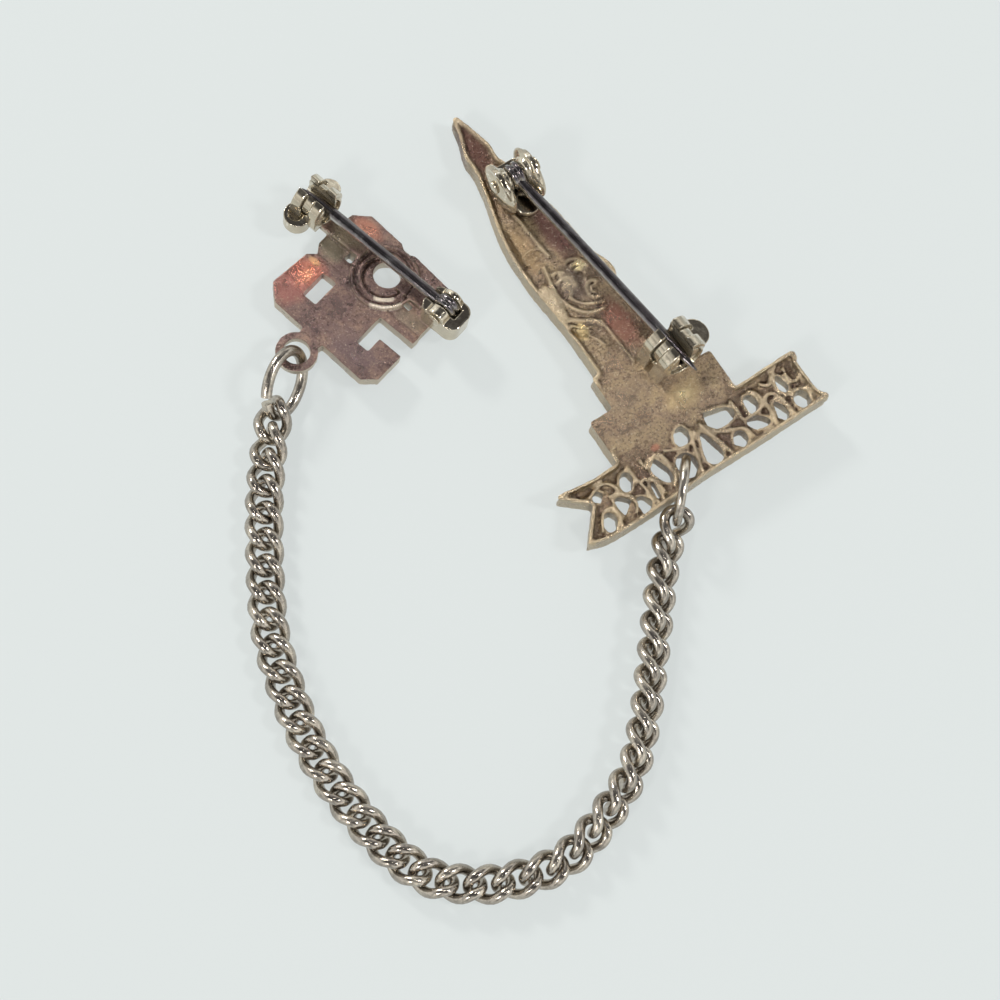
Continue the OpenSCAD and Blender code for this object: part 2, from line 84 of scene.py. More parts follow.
@dataclass(frozen=True)
class PinFrame:
    """Where one pin lies on the table.

    Attributes:
        at: Place of the pin's own origin on the table, in millimetres.
        turn: Turn on the table, in degrees.
        tilt: Tilt about the edge that rests on the table, in degrees.
        edge: Height of that edge along the pin's own Y.
    """

    at: Flat = (0.0, 0.0)
    turn: float = 0.0
    tilt: float = 0.0
    edge: float = 0.0

    def matrix(self) -> Matrix:
        """Work out how the pin lies.

        Returns:
            The way from the bench's millimetres to the table's metres.
        """
        pivot = Vector((0.0, self.edge, 0.0))
        return (Matrix.Scale(MM, 4)
                @ Matrix.Translation((self.at[0], self.at[1], 0.0))
                @ Matrix.Rotation(math.radians(self.turn), 4, "Z")
                @ Matrix.Translation(pivot)
                @ Matrix.Rotation(math.radians(-self.tilt), 4, "X")
                @ Matrix.Translation(-pivot))


TABLE = PinFrame()
BADGE = PinFrame(at=(11.79, 1.45), turn=32.6, tilt=2.0, edge=31.9)
GUARD = PinFrame(at=(-11.76, 14.9), turn=-40.0, tilt=7.0, edge=4.2)


@dataclass(frozen=True)
class Recess:
    """A sunk field of a casting's back.

    Attributes:
        low: Its low corner.
        high: Its high corner.
        depth: Its full depth.
        fade: Lengths over which it runs out at its low and at its high end.
    """

    low: Flat
    high: Flat
    depth: float
    fade: Flat

    def at(self, x: float, y: float) -> float:
        """Look up the depth of the field at a place.

        Args:
            x: The place along X.
            y: The place along Y.

        Returns:
            The depth, which is nothing outside the field.
        """
        if not (self.low[0] < x < self.high[0] and self.low[1] < y < self.high[1]):
            return 0.0
        return self.depth * min(1.0, (y - self.low[1]) / self.fade[0], (self.high[1] - y) / self.fade[1])


class Bench:
    """Modelling steps on the bench, each on one piece.

    Attributes:
        SIDES: How many sides a large round has.
        SMALL_SIDES: How many sides a small round has.
        SECTION_SIDES: How many sides a section has.
        SEAM: Distance under which the corners of a copy are merged.
    """

    SIDES = 96
    SMALL_SIDES = 48
    SECTION_SIDES = 24
    SEAM = 0.0005

    @staticmethod
    def hold(piece: Piece, *others: Piece) -> None:
        """Select only these pieces, with the first one active.

        Args:
            piece: The active piece.
            others: What is selected with it.
        """
        bpy.ops.object.select_all(action="DESELECT")
        for item in (piece, *others):
            item.select_set(True)
        bpy.context.view_layer.objects.active = piece

    @staticmethod
    def settle(piece: Piece) -> Piece:
        """Move a piece's place, turn and scale into its mesh.

        Args:
            piece: The piece.

        Returns:
            The piece.
        """
        Bench.hold(piece)
        bpy.ops.object.transform_apply(location=True, rotation=True, scale=True)
        return piece

    @staticmethod
    def move(piece: Piece, at: Point = ORIGIN, turn: Point = ORIGIN) -> Piece:
        """Turn a piece about the bench's origin and move it.

        Args:
            piece: The piece.
            at: Where its origin goes.
            turn: Its turns about X, Y and Z, in degrees.

        Returns:
            The piece.
        """
        piece.location = at
        piece.rotation_euler = [math.radians(angle) for angle in turn]
        return Bench.settle(piece)

    @staticmethod
    def bring(name: str, data: bpy.types.ID) -> Piece:
        """Bring a mesh, curve, lamp or camera into the scene.

        Args:
            name: Name of its object.
            data: The mesh, curve, lamp or camera.

        Returns:
            Its object.
        """
        item = bpy.data.objects.new(name, data)
        bpy.context.collection.objects.link(item)
        return item

    @staticmethod
    def cylinder(radius: float, depth: float, at: Point, axis: Axis = Axis.Z, sides: int = SIDES) -> Piece:
        """Add a cylinder.

        Args:
            radius: Its radius.
            depth: Its length.
            at: Its middle.
            axis: The way it points.
            sides: How many sides it has.

        Returns:
            The new piece.
        """
        bpy.ops.object.select_all(action="DESELECT")
        bpy.ops.mesh.primitive_cylinder_add(vertices=sides, radius=radius, depth=depth, location=at,
                                            rotation=axis.value)
        return Bench.settle(bpy.context.object)

    @staticmethod
    def block(low: Point, high: Point) -> Piece:
        """Add a block.

        Args:
            low: Its lowest corner.
            high: Its highest corner.

        Returns:
            The new piece.
        """
        bpy.ops.object.select_all(action="DESELECT")
        middle = [(a + b) / 2 for a, b in zip(low, high)]
        bpy.ops.mesh.primitive_cube_add(size=1.0, location=middle)
        piece = bpy.context.object
        piece.scale = [b - a for a, b in zip(low, high)]
        return Bench.settle(piece)

    @staticmethod
    def ball(at: Point, radii: Point) -> Piece:
        """Add a ball with its own radius along each axis.

        Args:
            at: Its middle.
            radii: Its three radii.

        Returns:
            The new piece.
        """
        bpy.ops.object.select_all(action="DESELECT")
        bpy.ops.mesh.primitive_uv_sphere_add(segments=Bench.SMALL_SIDES, ring_count=Bench.SECTION_SIDES,
                                             radius=1.0, location=at)
        piece = bpy.context.object
        piece.scale = radii
        return Bench.settle(piece)

    @staticmethod
    def prism(outline: Sequence[Flat], low: float, high: float) -> Piece:
        """Add an upright prism, as a cylinder whose sides are moved to an outline.

        Args:
            outline: The corners of its outline, in order.
            low: Height of its foot.
            high: Height of its top.

        Returns:
            The new piece.
        """
        piece = Bench.cylinder(1.0, high - low, (0.0, 0.0, (low + high) / 2), sides=len(outline))
        middle = Vector((sum(x for x, _ in outline), sum(y for _, y in outline))) / len(outline)
        turns = sorted(outline, key=lambda spot: math.atan2(spot[1] - middle.y, spot[0] - middle.x))
        # A nudge keeps the two corners on the seam together
        nudge = 1e-6
        ring = sorted(piece.data.vertices, key=lambda v: math.atan2(v.co.y - nudge, v.co.x))
        for number, vertex in enumerate(ring):
            vertex.co.x, vertex.co.y = turns[number // 2]
        return piece

    @staticmethod
    def hoop(major: float, minor: float, at: Point, axis: Axis = Axis.Z) -> Piece:
        """Add a torus.

        Args:
            major: Radius of its centre line.
            minor: Radius of its section.
            at: Its middle.
            axis: The way its hole points.

        Returns:
            The new piece.
        """
        bpy.ops.object.select_all(action="DESELECT")
        bpy.ops.mesh.primitive_torus_add(major_radius=major, minor_radius=minor,
                                         major_segments=Bench.SIDES, minor_segments=Bench.SECTION_SIDES,
                                         location=at, rotation=axis.value)
        return Bench.settle(bpy.context.object)

    @staticmethod
    def round_off(points: Sequence[Point], closed: bool) -> list[Point]:
        """Round the corners of a line by cutting them twice.

        Args:
            points: The line's points.
            closed: Whether the line's ends meet.

        Returns:
            The smoother line.
        """
        line = [Vector(point) for point in points]
        for _ in range(2):
            after = line[1:] + line[:1] if closed else line[1:]
            cut = []
            for a, b in zip(line, after):
                cut += [a.lerp(b, 0.25), a.lerp(b, 0.75)]
            line = cut if closed else [line[0], *cut[1:-1], line[-1]]
        return [tuple(point) for point in line]

    @staticmethod
    def wire(points: Sequence[Sequence[float]], radius: float, closed: bool,
             taper: Sequence[float] = ()) -> Piece:
        """Draw a round wire along points.

        Args:
            points: The points of its centre line.
            radius: Its radius.
            closed: Whether its ends meet.
            taper: Its thickness at each point, as a share of the radius.

        Returns:
            The new piece, as a mesh.
        """
        curve = bpy.data.curves.new("wire", "CURVE")
        curve.dimensions = "3D"
        curve.bevel_depth = radius
        curve.bevel_resolution = 8
        curve.use_fill_caps = True
        spline = curve.splines.new("POLY")
        spline.points.add(len(points) - 1)
        for spot, place in zip(spline.points, points):
            spot.co = (*place, 1.0)
        for spot, share in zip(spline.points, taper):
            spot.radius = share
        spline.use_cyclic_u = closed
        Bench.hold(Bench.bring("wire", curve))
        bpy.ops.object.convert(target="MESH")
        return bpy.context.object

    @staticmethod
    def copy_of(node: str, place: PinFrame, low: Point, high: Point) -> Piece:
        """Copy the part of a node of the frame that lies in a block onto the bench.

        Args:
            node: The node's name.
            place: The pin that it belongs to.
            low: The block's lowest corner.
            high: The block's highest corner.

        Returns:
            The copy, merged and in the pin's own millimetres.
        """
        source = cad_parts[node]
        piece = Bench.bring(f"{node}_copy", source.data.copy())
        piece.matrix_world = place.matrix().inverted() @ source.matrix_world
        piece.data.materials.clear()
        Bench.settle(piece)
        bpy.ops.object.mode_set(mode="EDIT")
        bpy.ops.mesh.select_all(action="SELECT")
        bpy.ops.mesh.remove_doubles(threshold=Bench.SEAM)
        bpy.ops.object.mode_set(mode="OBJECT")
        return Bench.shape(piece, Bench.block(low, high), "INTERSECT")

    @staticmethod
    def modify(piece: Piece, kind: str, **settings: object) -> Piece:
        """Give a piece a modifier and apply it.

        Args:
            piece: The piece.
            kind: The modifier's type.
            settings: The modifier's settings, by name.

        Returns:
            The piece.
        """
        modifier = piece.modifiers.new(kind, kind)
        for name, value in settings.items():
            setattr(modifier, name, value)
        Bench.hold(piece)
        bpy.ops.object.modifier_apply(modifier=modifier.name)
        return piece

    @staticmethod
    def shape(piece: Piece, tool: Piece, operation: str) -> Piece:
        """Join, cut or clip a piece with a tool, which is used up.

        Args:
            piece: The piece to shape.
            tool: The closed mesh that shapes it.
            operation: The name of the Boolean modifier's operation.

        Returns:
            The piece.
        """
        Bench.modify(piece, "BOOLEAN", operation=operation, solver="EXACT", object=tool)
        bpy.data.objects.remove(tool)
        return piece

    @staticmethod
    def cut(piece: Piece, *tools: Piece) -> Piece:
        """Cut tools out of a piece.

        Args:
            piece: The piece.
            tools: The tools, which are used up.

        Returns:
            The piece.
        """
        for tool in tools:
            Bench.shape(piece, tool, "DIFFERENCE")
        return piece

    @staticmethod
    def join(piece: Piece, *others: Piece) -> Piece:
        """Put other meshes into a piece, to be fused by a later casting.

        Args:
            piece: The piece.
            others: The other meshes, which are used up.

        Returns:
            The piece.
        """
        Bench.hold(piece, *others)
        bpy.ops.object.join()
        return piece

    @staticmethod
    def cast(piece: Piece, grid: float, passes: int) -> Piece:
        """Fuse all that is in a piece into one skin with soft edges.

        Args:
            piece: The piece.
            grid: Size of the skin's faces.
            passes: How often the skin is smoothed.

        Returns:
            The piece.
        """
        Bench.modify(piece, "REMESH", mode="VOXEL", voxel_size=grid)
        return Bench.soften(piece, passes)

    @staticmethod
    def soften(piece: Piece, passes: int) -> Piece:
        """Smooth a skin a number of times and return it."""
        return Bench.modify(piece, "SMOOTH", factor=0.5, iterations=passes)

    @staticmethod
    def sink(piece: Piece, fields: Sequence[Recess], top: float, rim: float) -> Piece:
        """Sink the back of a casting inside a raised rim along all its walls.

        Args:
            piece: The casting.
            fields: Its sunk fields.
            top: Height of the back.
            rim: Width of the rim.

        Returns:
            The piece.
        """
        # What counts as a wall and as the back, how deep that skin is, and the width of the rim's slope
        steep, level, skin, slope = 0.55, 0.6, 0.4, 0.16
        foot = 0.4 * top
        walls = [v for v in piece.data.vertices if abs(v.normal.z) < steep and foot < v.co.z < top]
        tree = KDTree(len(walls))
        for index, vertex in enumerate(walls):
            tree.insert((vertex.co.x, vertex.co.y, 0.0), index)
        tree.balance()
        group = piece.vertex_groups.new(name="back")
        for vertex in piece.data.vertices:
            if vertex.normal.z < level or vertex.co.z < top - skin:
                continue
            inside = tree.find((vertex.co.x, vertex.co.y, 0.0))[2] - rim
            share = max(0.0, min(1.0, inside / slope))
            weight = share * max(recess.at(vertex.co.x, vertex.co.y) for recess in fields)
            if weight > 0.0:
                group.add([vertex.index], weight, "REPLACE")
        return Bench.modify(piece, "DISPLACE", direction="Z", strength=-1.0, mid_level=0.0,
                            vertex_group=group.name)

    @staticmethod
    def roughen(piece: Piece, size: float, depth: float) -> Piece:
        """Give a skin the uneven surface of a casting.

        Args:
            piece: The piece.
            size: Size of the bumps.
            depth: Their height from lowest to highest.

        Returns:
            The piece.
        """
        clouds = bpy.data.textures.new("casting", "CLOUDS")
        clouds.noise_scale = size
        clouds.noise_depth = 1
        return Bench.modify(piece, "DISPLACE", texture=clouds, texture_coords="LOCAL", strength=depth,
                            mid_level=0.5)

    @staticmethod
    def draft(piece: Piece, height: float, depth: float) -> Piece:
        """Lean the walls of a casting inwards towards its back.

        Args:
            piece: The piece, whose back is at the height.
            height: Thickness of the casting.
            depth: How far the walls lean in at the back.

        Returns:
            The piece.
        """
        # How soon the lean fades as a face turns level
        fading = 1.4
        group = piece.vertex_groups.new(name="walls")
        for vertex in piece.data.vertices:
            upright = 1.0 - min(1.0, abs(vertex.normal.z) * fading)
            share = max(0.0, min(1.0, vertex.co.z / height)) * upright
            if share > 0.0:
                group.add([vertex.index], share, "REPLACE")
        return Bench.modify(piece, "DISPLACE", strength=-depth, mid_level=0.0, vertex_group=group.name)


@dataclass(frozen=True)
class Graph:
    """A node tree, with one step for a node, its settings and all that goes into it.

    Attributes:
        tree: The tree.
    """

    tree: bpy.types.NodeTree

    def add(self, kind: str, inputs: dict[str | int, object] | None = None,
            **settings: object) -> bpy.types.Node:
        """Add a node.

        Args:
            kind: Its type, without the leading ShaderNode.
            inputs: For each input, by name or number, the socket that feeds it or its value.
            settings: The node's settings, by name.

        Returns:
            The node.
        """
        node = self.tree.nodes.new(f"ShaderNode{kind}")
        for name, value in settings.items():
            setattr(node, name, value)
        self.feed(node, inputs or {})
        return node

    def feed(self, node: bpy.types.Node, inputs: dict[str | int, object]) -> None:
        """Feed a node's inputs.

        Args:
            node: The node.
            inputs: For each input, by name or number, the socket that feeds it or its value.
        """
        for label, value in inputs.items():
            if isinstance(value, Socket):
                self.tree.links.new(value, node.inputs[label])
            else:
                node.inputs[label].default_value = value

    def spread(self, value: Socket, start: object, end: object, low: float = 0.0, high: float = 1.0,
               smooth: bool = False) -> Socket:
        """Spread a value over a range.

        Args:
            value: The value.
            start: The value that gives the low end.
            end: The value that gives the high end.
            low: The low end.
            high: The high end.
            smooth: Whether the ends are eased.

        Returns:
            The spread value, which stops at both ends.
        """
        ease = "SMOOTHSTEP" if smooth else "LINEAR"
        return self.add("MapRange", {"Value": value, "From Min": start, "From Max": end, "To Min": low,
                                     "To Max": high}, interpolation_type=ease).outputs["Result"]

    def share(self, mask: Socket, share: float) -> Socket:
        """Return a mask weakened to a share, and clamped to 0 and 1."""
        return self.add("Math", {0: mask, 1: share}, operation="MULTIPLY",
                        use_clamp=True).outputs["Value"]

    def blend(self, mask: Socket, under: Colour | Socket, over: Colour | Socket) -> Socket:
        """Mix two colours by a mask.

        Args:
            mask: Where the second colour shows.
            under: The first colour, or the socket that gives it.
            over: The second colour, or the socket that gives it.

        Returns:
            The socket of the mixed colour.
        """
        first, second, result = 6, 7, 2
        colours = {number: (*value, 1.0) if isinstance(value, tuple) else value
                   for number, value in ((first, under), (second, over))}
        return self.add("Mix", {"Factor": mask, **colours}, data_type="RGBA").outputs[result]


class Effect(Enum):
    """The shader effects that more than one finish uses, each a node group that is built once."""

    CLOUD = "tarnish clouds"
    GRAIN = "casting grain"
    WEAR = "edge wear"
    STAIN = "stain"

    def tree(self) -> bpy.types.NodeTree:
        """Build the effect's group the first time it is asked for.

        Returns:
            The group.
        """
        if self.value not in bpy.data.node_groups:
            build = {Effect.CLOUD: self._cloud, Effect.GRAIN: self._grain, Effect.WEAR: self._wear,
                     Effect.STAIN: self._stain}[self]
            build()
        return bpy.data.node_groups[self.value]

    def _start(self, inputs: dict[str, object],
               outputs: Sequence[str]) -> tuple[Graph, bpy.types.NodeOutputs]:
        """Start the effect's group.

        Args:
            inputs: For each input its default, a number or three.
            outputs: The names of its outputs, which are numbers.

        Returns:
            The group's graph and the sockets of its inputs.
        """
        group = bpy.data.node_groups.new(self.value, "ShaderNodeTree")
        for label, default in inputs.items():
            kind = "NodeSocketVector" if isinstance(default, tuple) else "NodeSocketFloat"
            group.interface.new_socket(label, in_out="INPUT", socket_type=kind).default_value = default
        for label in outputs:
            group.interface.new_socket(label, in_out="OUTPUT", socket_type="NodeSocketFloat")
        return Graph(group), group.nodes.new("NodeGroupInput").outputs

    @staticmethod
    def _end(graph: Graph, outputs: dict[str, Socket]) -> None:
        """Lead the results, by the names of the outputs, out of a group."""
        graph.feed(graph.tree.nodes.new("NodeGroupOutput"), outputs)

    def _cloud(self) -> None:
        """Build soft clouds of tarnish, as a mask."""
        graph, given = self._start({"Place": ORIGIN, "Scale": 1.0, "Low": 0.4, "High": 0.6}, ["Mask"])
        noise = graph.add("TexNoise", {"Vector": given["Place"], "Scale": given["Scale"], "Detail": 6.0,
                                       "Roughness": 0.62, "Distortion": 0.4})
        self._end(graph, {"Mask": graph.spread(noise.outputs["Fac"], given["Low"], given["High"],
                                               smooth=True)})

    def _grain(self) -> None:
        """Build the pits and grains of a casting, as a height and a mask for the painted glints."""
        graph, given = self._start({"Place": ORIGIN, "Scale": 1.0}, ["Height", "Glint"])
        where = {"Vector": given["Place"], "Scale": given["Scale"]}
        fine = graph.add("TexNoise", {**where, "Detail": 5.0, "Roughness": 0.7}).outputs["Fac"]
        pits = graph.add("TexVoronoi", where, feature="SMOOTH_F1").outputs["Distance"]
        mix = graph.add("Math", {0: pits, 1: 0.45, 2: fine}, operation="MULTIPLY_ADD")
        self._end(graph, {"Height": mix.outputs["Value"], "Glint": graph.spread(fine, 0.57, 0.72)})

    def _wear(self) -> None:
        """Build the masks of edges, hollows and upright walls: for the worn edges, for the dirt and
        painted shade in the hollows, and for the painted reflection on the walls.
        """
        graph, given = self._start({"Edge": 0.64, "Hollow": 0.455}, ["Edges", "Hollows", "Walls"])
        point = graph.add("NewGeometry").outputs["Pointiness"]
        normal = graph.add("TexCoord").outputs["Normal"]
        height = graph.add("SeparateXYZ", {"Vector": normal}).outputs["Z"]
        size = graph.add("Math", {0: height}, operation="ABSOLUTE").outputs["Value"]
        self._end(graph, {"Edges": graph.spread(point, 0.545, given["Edge"]),
                          "Hollows": graph.spread(point, 0.497, given["Hollow"]),
                          "Walls": graph.spread(size, 0.72, 0.35)})

    def _stain(self) -> None:
        """Build one stained spot or painted highlight, as a mask with a ragged border."""
        graph, given = self._start({"Place": ORIGIN, "Middle": ORIGIN, "Radii": (1.0, 1.0, 1.0),
                                    "Ragged": 0.5}, ["Mask"])
        away = graph.add("VectorMath", {0: given["Place"], 1: given["Middle"]}, operation="SUBTRACT")
        share = graph.add("VectorMath", {0: away.outputs["Vector"], 1: given["Radii"]}, operation="DIVIDE")
        length = graph.add("VectorMath", {0: share.outputs["Vector"]}, operation="LENGTH")
        noise = graph.add("TexNoise", {"Vector": given["Place"], "Scale": 1.3, "Detail": 5.0})
        ragged = graph.add("Math", {0: noise.outputs["Fac"], 1: given["Ragged"],
                                    2: length.outputs["Value"]}, operation="MULTIPLY_ADD")
        self._end(graph, {"Mask": graph.spread(ragged.outputs["Value"], 1.35, 0.75, smooth=True)})


@dataclass(frozen=True)
class StainOrHighlight:
    """A stained spot, or a painted highlight or reflection, on one pin.

    Attributes:
        middle: Its middle in the pin's own millimetres.
        radii: Its reach along X and Y.
        colour: Its colour.
        share: How much of its colour shows.
    """

    middle: Flat
    radii: Flat
    colour: Colour
    share: float = 0.8


@dataclass(frozen=True)
class MetalFinish:
    """A worn and tarnished metal, whose colour also holds painted highlights, glints, reflections and
    shade.

    Attributes:
        name: Name of the material.
        clean: Colour of the bare metal.
        tarnish: Colour of the tarnish.
        edge: Colour of the worn edges and of the painted glints.
        hollow: Colour of the dirt in the pits, and of the dirt and painted shade in the hollows.
        cover: How much tarnish there is, from 0 to 1.
        patch: Size of the clouds of tarnish, in millimetres.
        gloss: Lowest and highest roughness.
        grain: Size of the grain, in millimetres.
        depth: Depth of the grain, in millimetres.
        worn: How much the edges shine.
        glint: How much painted glint shows on the highest grains.
        speckle: How much dirt lies in the pits.
        wall: Colour painted on the upright walls, a painted reflection of the pale table.
        wall_reflection_share: How much of that painted reflection shows.
        dull: How far the walls are dull instead of bright metal.
        dirt: How much the hollows are darkened, with dirt and painted shade.
        ridge: Colour of what stands up from the sunk fields.
        ridged: How much of that colour shows.
        rise: Heights above the fields at which that colour starts and is full.
        top: Height of the back that the fields are sunk into.
        fields: The sunk fields.
        place: The pin whose own frame the pattern follows.
        stains_and_highlights: Stains, painted highlights and painted reflections at their own places.
    """

    name: str
    clean: Colour
    tarnish: Colour
    edge: Colour
    hollow: Colour
    cover: float = 0.5
    patch: float = 3.0
    gloss: Flat = (0.25, 0.45)
    grain: float = 0.3
    depth: float = 0.02
    worn: float = 0.6
    glint: float = 0.1
    speckle: float = 0.35
    wall: Colour = (0.6, 0.5, 0.4)
    wall_reflection_share: float = 0.0
    dull: float = 0.0
    dirt: float = 0.85
    ridge: Colour = (0.6, 0.5, 0.4)
    ridged: float = 0.5
    rise: Flat = (0.04, 0.17)
    top: float = 0.0
    fields: tuple[Recess, ...] = ()
    place: PinFrame = TABLE
    stains_and_highlights: tuple[StainOrHighlight, ...] = ()

    def material(self) -> bpy.types.Material:
        """Build the material the first time it is asked for.

        Returns:
            The material.
        """
        if self.name in bpy.data.materials:
            return bpy.data.materials[self.name]
        material = bpy.data.materials.new(self.name)
        material.use_nodes = True
        graph = Graph(material.node_tree)
        shader = material.node_tree.nodes["Principled BSDF"]
        here = self.place.matrix()
        where = graph.add("Mapping", {"Vector": graph.add("TexCoord").outputs["Object"],
                                      "Location": here.to_translation(), "Rotation": here.to_euler(),
                                      "Scale": (MM, MM, MM)}, vector_type="TEXTURE").outputs["Vector"]
        covered = 0.4 * self.cover
        clouds = self._cloud(graph, where, self.patch, 0.62 - covered, 0.94 - covered)
        pits = self._cloud(graph, where, self.grain * 1.3, 0.46, 0.66)
        worn = graph.add("Group", node_tree=Effect.WEAR.tree()).outputs
        grain = graph.add("Group", node_tree=Effect.GRAIN.tree())
        graph.feed(grain, {"Place": where, "Scale": 1.0 / self.grain})

        colour = graph.blend(clouds, self.tarnish, self.clean)
        colour = graph.blend(graph.share(pits, self.speckle), colour, self.hollow)
        # Painted reflection: the upright walls are lightened towards the wall colour, where the pale table
        # would be mirrored
        colour = graph.blend(graph.share(worn["Walls"], self.wall_reflection_share), colour, self.wall)
        # Stains, and painted highlights and reflections, each at its own place
        for stain in self.stains_and_highlights:
            colour = graph.blend(self._stain(graph, where, stain), colour, stain.colour)
        if self.fields:
            colour = graph.blend(graph.share(self._risen(graph, where), self.ridged), colour, self.ridge)
        # Darker in the hollows: dirt, and painted shade where shade falls in creases and recesses
        colour = graph.blend(graph.share(worn["Hollows"], self.dirt), colour, self.hollow)
        colour = graph.blend(graph.share(worn["Edges"], self.worn), colour, self.edge)
        # Painted glints: the highest grains take the edge colour
        colour = graph.blend(graph.share(grain.outputs["Glint"], self.glint), colour, self.edge)

        metal = graph.spread(worn["Walls"], 0.0, 1.0, 1.0, 1.0 - self.dull) if self.dull else 1.0
        bump = graph.add("Bump", {"Strength": 1.0, "Distance": self.depth * MM,
                                  "Height": grain.outputs["Height"]})
        graph.feed(shader, {"Base Color": colour, "Metallic": metal,
                            "Roughness": graph.spread(clouds, 0.0, 1.0, *self.gloss),
                            "Normal": bump.outputs["Normal"]})
        return material

    @staticmethod
    def _cloud(graph: Graph, where: Socket, size: float, low: float, high: float) -> Socket:
        """Place clouds of tarnish or dirt.

        Args:
            graph: The material's graph.
            where: The place in the pin's own millimetres.
            size: Size of the clouds.
            low: Where they start, from 0 to 1.
            high: Where they are full.

        Returns:
            The mask.
        """
        node = graph.add("Group", node_tree=Effect.CLOUD.tree())
        graph.feed(node, {"Place": where, "Scale": 1.0 / size, "Low": low, "High": high})
        return node.outputs["Mask"]

    @staticmethod
    def _stain(graph: Graph, where: Socket, stain: StainOrHighlight) -> Socket:
        """Place a stained spot or painted highlight, as high as the pin.

        Args:
            graph: The material's graph.
            where: The place in the pin's own millimetres.
            stain: The stained spot or painted highlight.

        Returns:
            The mask.
        """
        height = 6.0
        node = graph.add("Group", node_tree=Effect.STAIN.tree())
        graph.feed(node, {"Place": where, "Middle": (*stain.middle, 0.0), "Radii": (*stain.radii, height)})
        return graph.share(node.outputs["Mask"], stain.share)

    def _risen(self, graph: Graph, where: Socket) -> Socket:
        """Find what stands up from the sunk fields.

        Args:
            graph: The material's graph.
            where: The place in the pin's own millimetres.

        Returns:
            The mask.
        """
        parts = graph.add("SeparateXYZ", {"Vector": where}).outputs
        height = parts["Z"]
        for recess in self.fields:
            start, full = recess.low[1], recess.low[1] + recess.fade[0]
            if recess.fade[1] > recess.fade[0]:
                start, full = recess.high[1], recess.high[1] - recess.fade[1]
            depth = graph.spread(parts["Y"], start, full, 0.0, recess.depth)
            height = graph.add("Math", {0: height, 1: depth}).outputs["Value"]
        return graph.spread(height, self.top + self.rise[0], self.top + self.rise[1])


# Sunk fields of the badge's back
BADGE_FIELDS: tuple[Recess, ...] = (
    Recess((-3.5, 8.3), (3.4, 33.0), 0.3, (2.4, 0.3)),
    Recess((-12.0, -1.0), (12.0, 5.0), 0.7, (0.2, 1.5)),
)
BADGE_FINISH = MetalFinish(
    name="cast badge metal", clean=(0.44, 0.335, 0.205), tarnish=(0.25, 0.18, 0.125),
    edge=(0.90, 0.80, 0.62), hollow=(0.06, 0.038, 0.03), cover=0.55, patch=1.8, gloss=(0.27, 0.42),
    grain=0.15, depth=0.075, worn=0.0, glint=0.6, speckle=0.7, wall=(0.56, 0.47, 0.345), wall_reflection_share=0.75,
    ridge=(0.62, 0.51, 0.35), top=1.9, fields=BADGE_FIELDS, place=BADGE,
    stains_and_highlights=(StainOrHighlight((-0.7, 29.2), (1.3, 3.0), (0.11, 0.055, 0.045), 0.92),
            StainOrHighlight((0.7, 20.8), (1.3, 2.8), (0.19, 0.095, 0.085), 0.85),
            StainOrHighlight((0.8, 12.4), (1.3, 2.4), (0.24, 0.105, 0.08), 0.8),
            StainOrHighlight((-2.0, 20.6), (1.0, 2.4), (0.40, 0.28, 0.155), 0.7),
            # Painted highlight, pale gold, low on the tower's relief
            StainOrHighlight((-1.9, 13.3), (0.7, 0.9), (0.92, 0.72, 0.38), 0.75),
            StainOrHighlight((-0.4, 16.6), (1.4, 1.9), (0.12, 0.09, 0.075), 0.8),
            # Painted highlight, gold, at the upper right of the swirl
            StainOrHighlight((0.7, 17.6), (0.6, 0.5), (0.95, 0.78, 0.42), 0.85),
            # Painted reflection on the stepped base: a soft gold glow and its bright middle
            StainOrHighlight((1.6, 5.6), (1.9, 1.2), (0.60, 0.45, 0.25), 0.5),
            StainOrHighlight((1.6, 5.6), (0.7, 0.5), (0.97, 0.80, 0.48), 0.5),
            StainOrHighlight((-1.9, 7.6), (2.6, 1.2), (0.24, 0.18, 0.13), 0.45),
            StainOrHighlight((-2.1, 3.5), (0.4, 0.3), (0.55, 0.22, 0.15), 0.6),
            StainOrHighlight((0.3, 1.9), (9.0, 1.5), (0.15, 0.098, 0.078), 0.65)))
RING_AT: Flat = (0.1, 1.1)


def painted_ring_highlights(radius: float, low: int, high: int) -> tuple[StainOrHighlight, ...]:
    """Spread painted highlights along an edge of the guard's raised ring.

    Args:
        radius: Radius of the edge.
        low: Where they start, in degrees.
        high: Where they end, in degrees.

    Returns:
        The painted highlights.
    """
    apart, reach = 6, 0.24
    turns = [math.radians(turn) for turn in range(low, high + 1, apart)]
    return tuple(StainOrHighlight((RING_AT[0] + radius * math.cos(turn), RING_AT[1] + radius * math.sin(turn)),
                       (reach, reach), (0.88, 0.78, 0.64), 0.6) for turn in turns)


